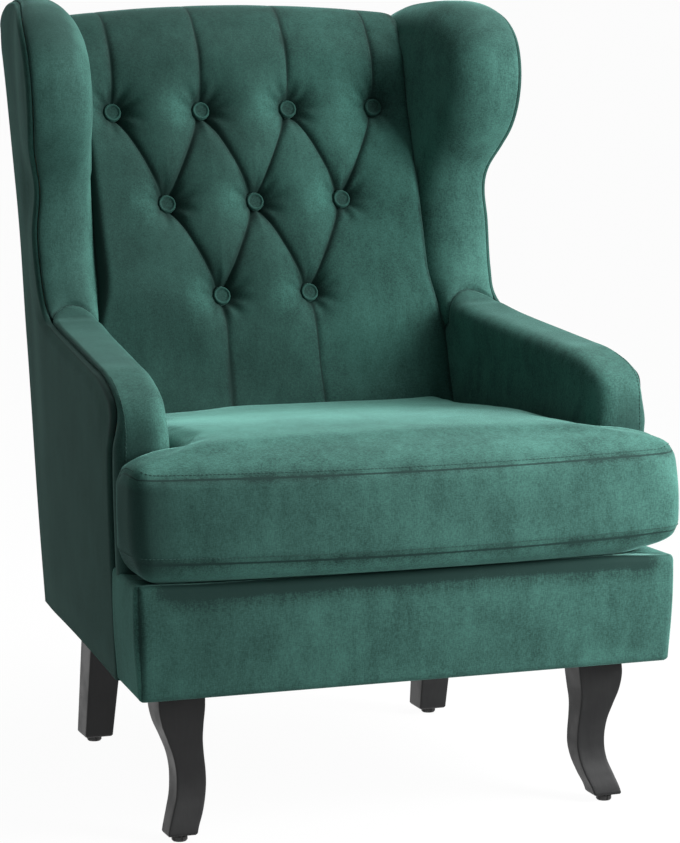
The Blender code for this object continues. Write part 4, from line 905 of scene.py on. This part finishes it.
def cushion_lattice():
    """Boxed T cushion before filling: crowned top, band of upright rows, underside that rolls up.

    The top rises from its seam as 1 - exp(-distance) and as a dome 1 - x^12 between the arms, and falls
    towards the back, more at the left.  The underside falls from its seam to the flat deck.  The front
    bows forward in the middle, where its lower seam droops, and the band leans forward to that seam.
    """
    def body_half(b):
        return side_x(b, 0.42) - 0.0705 - 0.005 * ease(0.25 - b, 0.12)

    front = -0.0125
    x, b, faces, rim, gap = tee(EAR_HALF, body_half, front, 0.077, 0.482, 0.0078)
    back = b - front
    middle = 1 - (x / EAR_HALF) ** 2
    ahead = 1 - ease(back, 0.11)
    half = body_half(b) + (EAR_HALF - body_half(b)) * (1 - ease(b - 0.03, 0.08))
    dome = 0.016 * (1 - np.clip(np.abs(x) / (half + 0.016), 0, 1) ** 12) * (1 - np.exp(-back / 0.03))
    sink = 0.006 * ease(np.abs(x) - 0.3, 0.06) * ease(b, 0.08)
    tilt = -0.0018 * x / EAR_HALF
    crown = 0.014 * (1 - np.exp(-gap / (0.0035 + 0.0095 * (1 - ease(b - 0.03, 0.035)))))
    drop = (0.02 + 0.01 * ease(-x - 0.05, 0.25)) * ease(b - 0.14, 0.34)
    top_z = CUSHION_HIGH + crown + dome - sink + tilt - drop - 0.0045 * middle * ahead
    fall = 0.016 + 0.016 * ease(x - 0.28, 0.06)
    under_z = (CUSHION_LOW - (CUSHION_LOW - DECK_Z - 0.0012) * (1 - np.exp(-gap / fall)) + 0.7 * tilt
               - 0.006 * middle * (1 - ease(back, 0.05)))
    lean = 0.02 * ease(b, 0.5) * (1 - ease(gap, 0.15))
    top_b = b + lean + (0.007 - 0.013 * middle) * ahead
    under_b = b - (0.008 + 0.013 * middle) * ahead
    top = world(x, top_b, top_z)
    under = world(x, under_b, under_z)
    levels = 13
    t = np.linspace(0, 1, levels + 1)[1:-1, None, None]
    bow = 0.0025 * np.sin(np.pi * t[..., 0]) * (b[rim] < 0.06)
    band = top[rim] * (1 - t) + under[rim] * t
    band[..., 0] += np.sign(x[rim]) * (np.abs(x[rim]) > 0.31) * bow
    band[..., 1] -= (b[rim] < 0.004) * bow
    points = np.concatenate([top, band.reshape(-1, 3), under])
    count = len(x)
    last = count + (levels - 1) * len(rim)
    loops = np.concatenate([rim[None], np.arange(count, last).reshape(levels - 1, -1), last + rim[None]])
    return points, boxed(faces, loops, last), loops


def read(vertices, key):
    """One vector per vertex as an array."""
    values = np.empty(len(vertices) * 3)
    vertices.foreach_get(key, values)
    return values.reshape(-1, 3)


def fill_cushion(piece, held, cap):
    """Blow the cover up as cloth with its seams held, keep each point within the cap, and bake it in."""
    mesh = piece.data
    before = read(mesh.vertices, "co")
    group = piece.vertex_groups.new(name="held")
    for weight in np.unique(held):
        group.add(np.flatnonzero(held == weight).tolist(), float(weight), "REPLACE")
    cloth = piece.modifiers.new("filling", "CLOTH")
    options = {"quality": 5, "mass": 0.25, "tension_stiffness": 12, "compression_stiffness": 12,
               "shear_stiffness": 6, "bending_stiffness": 0.8, "vertex_group_mass": "held",
               "pin_stiffness": 1.2, "use_pressure": True, "uniform_pressure_force": 1.2}
    for key, value in options.items():
        setattr(cloth.settings, key, value)
    cloth.settings.effector_weights.gravity = 0.0
    frames = 20
    cloth.point_cache.frame_start = 1
    cloth.point_cache.frame_end = frames
    scene = bpy.context.scene
    for number in range(1, frames + 1):
        scene.frame_set(number)
    swollen = piece.evaluated_get(bpy.context.evaluated_depsgraph_get()).to_mesh()
    move = read(swollen.vertices, "co") - before
    piece.modifiers.remove(cloth)
    scene.frame_set(1)
    size = np.linalg.norm(move, axis=1)[:, None]
    move *= np.minimum(1.0, cap / np.maximum(size, 1e-9))
    mesh.vertices.foreach_set("co", (before + move).ravel())
    piece.vertex_groups.clear()
    mesh.update()


def subdivide(piece):
    """One smoothing subdivision, in renders too."""
    step = piece.modifiers.new("smooth", "SUBSURF")
    step.levels = 1
    step.render_levels = 1


def stitch_row(line, tree, pitch=0.005, length=0.0036, radius=0.0006):
    """Rings of a row of thread stitches: short spindles laid end to end on a line drawn onto a surface."""
    run = lengths(line)
    count = int(run[-1] / pitch)
    at = (np.arange(count) + 0.5) * pitch
    hits = [tree.find_nearest(place) for place in between(at, run, line).tolist()]
    middle = np.array([hit[0] for hit in hits])[:, None]
    up = np.array([hit[1] for hit in hits])
    along = between(at + 0.001, run, line) - between(at - 0.001, run, line)
    along /= np.linalg.norm(along, axis=1)[:, None]
    across = np.cross(along, up)
    sides = 6
    turn = np.linspace(0, 2 * math.pi, sides, endpoint=False)[None, :, None]
    rings = []
    for share, size in ((-0.5, 0.25), (-0.3, 0.9), (0.3, 0.9), (0.5, 0.25)):
        lift = 0.35 * radius + radius * size * np.sin(turn)
        rings.append(middle + share * length * along[:, None] + lift * up[:, None]
                     + radius * size * np.cos(turn) * across[:, None])
    return np.stack(rings, axis=1)


def surface_tree(piece):
    """The piece's finished surface, for finding the point nearest to a place."""
    graph = bpy.context.evaluated_depsgraph_get()
    return BVHTree.FromObject(piece, graph)


def stitching(name, rows, body):
    """Join rows of stitches into one piece of thread; each stitch is a tube of rings with capped ends."""
    points = np.concatenate(rows)
    count, rings, sides = points.shape[:3]
    first = (np.arange(count) * rings * sides)[:, None, None]
    ring = np.arange(sides)
    tubes = grid_faces(rings, sides, wrap=True) + first
    ends = np.stack([ring[::-1], ring + (rings - 1) * sides]) + first
    faces = tubes.reshape(-1, 4).tolist() + ends.reshape(-1, sides).tolist()
    piece = mesh_piece(name, points, faces, THREAD)
    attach(piece, body)


def seat_cushion():
    """The filled cushion with sunk seams, laid on the deck and border, and its two rows of stitches."""
    points, faces, loops = cushion_lattice()
    upper, lower = loops[0], loops[-1]
    x, _, z = points.T
    seams = np.zeros(len(points))
    seams[[upper, lower]] = 1.0
    # Painted light and shade: the left end and left side darker, the right end lighter, the top lighter,
    # most at the left, and the lower roll lighter at the left.
    end = ease(np.abs(x) - 0.29, 0.06) * ease(0.462 - z, 0.01)
    nap = end * np.where(x < 0, -0.3, 0.1) - 0.12 * ease(-x - 0.05, 0.25)
    nap += 0.25 * ease(0.352 - z, 0.01) * ease(0.15 - x, 0.2)
    nap += (0.15 + 0.26 * ease(-x - 0.05, 0.15)) * ease(z - 0.466, 0.01)
    piece = mesh_piece("seat_cushion_cover", points, faces, VELVET, seam=seams, nap=nap)
    held = np.full(len(points), 0.02)
    held[lower.min():] = 0.8
    held[upper] = 0.75
    held[lower] = 0.85
    fill_cushion(piece, held, 0.003)
    vertices = piece.data.vertices
    place = read(vertices, "co")
    normal = read(vertices, "normal")
    for loop in (upper, lower):
        place[loop] -= 0.0034 * normal[loop]
    place[:, 2] = np.maximum(place[:, 2], rest_height(place[:, 1] - FRONT_Y))
    vertices.foreach_set("co", place.ravel())
    piece.data.update()
    subdivide(piece)
    seat(piece, "seat_cushion", body="cushion", fill=0.85)
    tree = surface_tree(piece)
    above = place[upper] + np.array([0, 0, 0.005])
    above[:, :2] *= 0.985
    below = place[loops[-2]] * 0.85 + place[lower] * 0.15
    stitching("cushion_stitching", [stitch_row(line, tree) for line in (above, below)], "cushion")


def seat_deck():
    """Padded deck under the cushion: a shallow crown over a T-shaped slab."""
    def body_half(b):
        return side_x(b, 0.31) - ARM_WIDE - 0.001

    x, b, faces, rim, gap = tee(0.318, body_half, 0.03, 0.139, 0.5, 0.012)
    top = world(x, b, 0.3215 + 0.005 * (1 - np.exp(-gap / 0.03)))
    under = world(x, b, 0.3085)
    faces = boxed(faces, np.stack([rim, rim + len(x)]), len(x))
    piece = mesh_piece("seat_deck_cover", np.concatenate([top, under]), faces, LINING)
    subdivide(piece)
    seat(piece, "seat_deck", slot="lining", fill=0.6)


def dust_cover():
    """Lining under the seat: a sheet tacked round its edge that sags a little between the legs."""
    inset = 0.01
    b = np.linspace(inset, 0.6, 70)[:, None]
    u = np.linspace(-1, 1, 80)[None, :]
    half = side_x(b, BASE_LOW) - inset
    s = (b - inset) / 0.59
    sag = 0.0045 * (1 - u ** 2) * 4 * s * (1 - s) * ease(0.8 - np.abs(u), 0.5)
    pucker = 0.0006 * np.sin(60 * s * math.pi) * bell(1 - np.abs(u), 0.05)
    points = world(half * u, b, 0.1918 - sag - pucker)
    faces = grid_faces(*points.shape[:2])
    piece = mesh_piece("dust_sheet", points, faces[:, ::-1], LINING, thick=0.0007, closed=False)
    seat(piece, "dust_cover", slot="lining")


def rounded_ring(low_x, high_x, low_b, high_b, arris):
    """Rounded rectangles, one per row: corner arcs with a support point on each side of them."""
    arc = np.radians(np.array([0, 22, 45, 68, 90]))
    lead = 1.6 * arris
    corners = (high_x, high_b, 1, 1), (low_x, high_b, -1, 1), (low_x, low_b, -1, -1), (high_x, low_b, 1, -1)
    xs, bs = [], []
    for quarter, (at_x, at_b, way_x, way_b) in enumerate(corners):
        start = quarter * math.pi / 2
        x = at_x - way_x * arris + arris * np.cos(arc + start)
        b = at_b - way_b * arris + arris * np.sin(arc + start)
        xs += [x[:, :1] + lead * math.sin(start), x, x[:, -1:] - lead * math.cos(start)]
        bs += [b[:, :1] - lead * math.cos(start), b, b[:, -1:] - lead * math.sin(start)]
    return np.concatenate(xs, axis=1), np.concatenate(bs, axis=1)


# Leg limits by height: z, then outer x, inner x, front b and back b.
FRONT_LEG = [
    (0.1905, 0.31, 0.253, 0.058, 0.106), (0.185, 0.3102, 0.2533, 0.057, 0.1055),
    (0.165, 0.3108, 0.2544, 0.054, 0.104), (0.145, 0.3068, 0.2565, 0.0537, 0.1022),
    (0.125, 0.2992, 0.257, 0.0556, 0.096), (0.105, 0.292, 0.2552, 0.0574, 0.0928),
    (0.085, 0.2883, 0.2532, 0.0573, 0.0915), (0.07, 0.288, 0.253, 0.0562, 0.0905),
    (0.055, 0.2898, 0.255, 0.053, 0.0868), (0.035, 0.2966, 0.2606, 0.0463, 0.0775),
    (0.015, 0.3036, 0.2685, 0.0395, 0.0692), (0.0089, 0.305, 0.27, 0.038, 0.068)]
REAR_LEG = [(0.1906, 0.2672, 0.2232, 0.511, 0.562), (0.0089, 0.266, 0.23, 0.558, 0.6)]


def legs():
    """Sawn legs: rounded square sections between smooth lines through the limits, eased at both ends."""
    step = 0.0022
    for where, knots in (("front", FRONT_LEG), ("rear", REAR_LEG)):
        line = through(knots[::-1], step)
        z, out, inside, front, back = (line[:, k:k + 1] for k in range(5))
        end_gap = np.minimum(z - z[0], z[-1] - z)
        full = 0.0008 - 0.0014 * np.clip(1 - end_gap / step, 0, 1) ** 2
        x, b = rounded_ring(inside - full - 0.0015, out + full, front - full, back + full, 0.0019)
        points = world(x, b, z)
        faces = capped(*x.shape)
        for label, side in SIDES:
            placed = points * np.array([side, 1.0, 1.0])
            piece = mesh_piece("%s_leg_%s" % (where, label), placed, faces, BLACK_WOOD)
            seat(piece, "leg_%s_%s" % (where, label), slot="black_wood")


def dress_frame():
    """Give each solid the procedural finish of its slot."""
    finishes = {"hardwood": HARDWOOD, "plywood": PLYWOOD, "steel": STEEL, "webbing": WEBBING,
                "glide_plastic": PLASTIC, "black_wood": BLACK_WOOD, "velvet": VELVET, "lining": LINING}
    slots = {row["node"]: row["material_slot"] for row in frame["record"]["subparts"]}
    for node, solid in frame["nodes"].items():
        solid.data.materials.clear()
        solid.data.materials.append(finishes[slots[node]])


def studio():
    """Floor and sky that look white to the camera, a key and a top light at the right, and a weak fill."""
    white = (1.0, 1.0, 1.0, 1.0)
    floor = Finish("pale floor")
    bare = floor.node("BsdfDiffuse", None, {"Color": (0.62, 0.62, 0.62, 1.0)})
    glow = floor.node("Emission", None, {"Color": white, "Strength": 1.04})
    floor.end(floor.node("MixShader", None, {0: floor.seen() * 0.93, 1: bare, 2: glow}))
    size = 90.0
    points = np.array([(-size, -size, 0), (size, -size, 0), (size, size, 0), (-size, size, 0)], float)
    mesh_piece("floor", points, [(0, 1, 2, 3)], floor.owner, closed=False)
    sky = Finish("studio", bpy.data.worlds)
    level = sky.node("MapRange", None, {0: sky.seen(), 3: 0.1, 4: 1.0})
    light = sky.node("Background", None, {"Color": white, "Strength": level})
    bpy.context.scene.world = sky.end(light, "OutputWorld")
    aim_at = np.array([0.0, 0.0, 0.5])
    lamps = (("key", (1.2, -1.02, 0.98), 43.0, 0.8), ("top", (1.25, 0.05, 2.5), 54.0, 1.2),
             ("fill", (0.6, -3.6, 1.3), 5.0, 1.6))
    for name, spot, power, size in lamps:
        lamp = bpy.data.lights.new(name, "AREA")
        lamp.energy = power
        lamp.size = size
        made = linked(name, lamp)
        made.location = spot
        aim = aim_at - np.array(spot)
        tip = math.atan2(math.hypot(aim[0], aim[1]), -aim[2])
        made.rotation_euler = (tip, 0.0, math.atan2(aim[1], aim[0]) - math.pi / 2)


def camera():
    """The view of the photograph: from the front left, a little above the seat."""
    lens = bpy.data.cameras.new("view")
    lens.sensor_width = 36.0
    lens.lens = 142.42
    lens.shift_y = 0.004
    made = linked("view", lens)
    made.location = (-1.4574, -4.1617, 1.1301)
    made.rotation_euler = (math.radians(81.3244), 0.0, math.radians(-19.8313))
    bpy.context.scene.camera = made
    bpy.context.scene.view_settings.view_transform = "Standard"


dress_frame()
camera()
studio()
pads()
outside_panels()
outside_back()
front_border()
back_pad()
buttons()
seat_cushion()
seat_deck()
dust_cover()
legs()
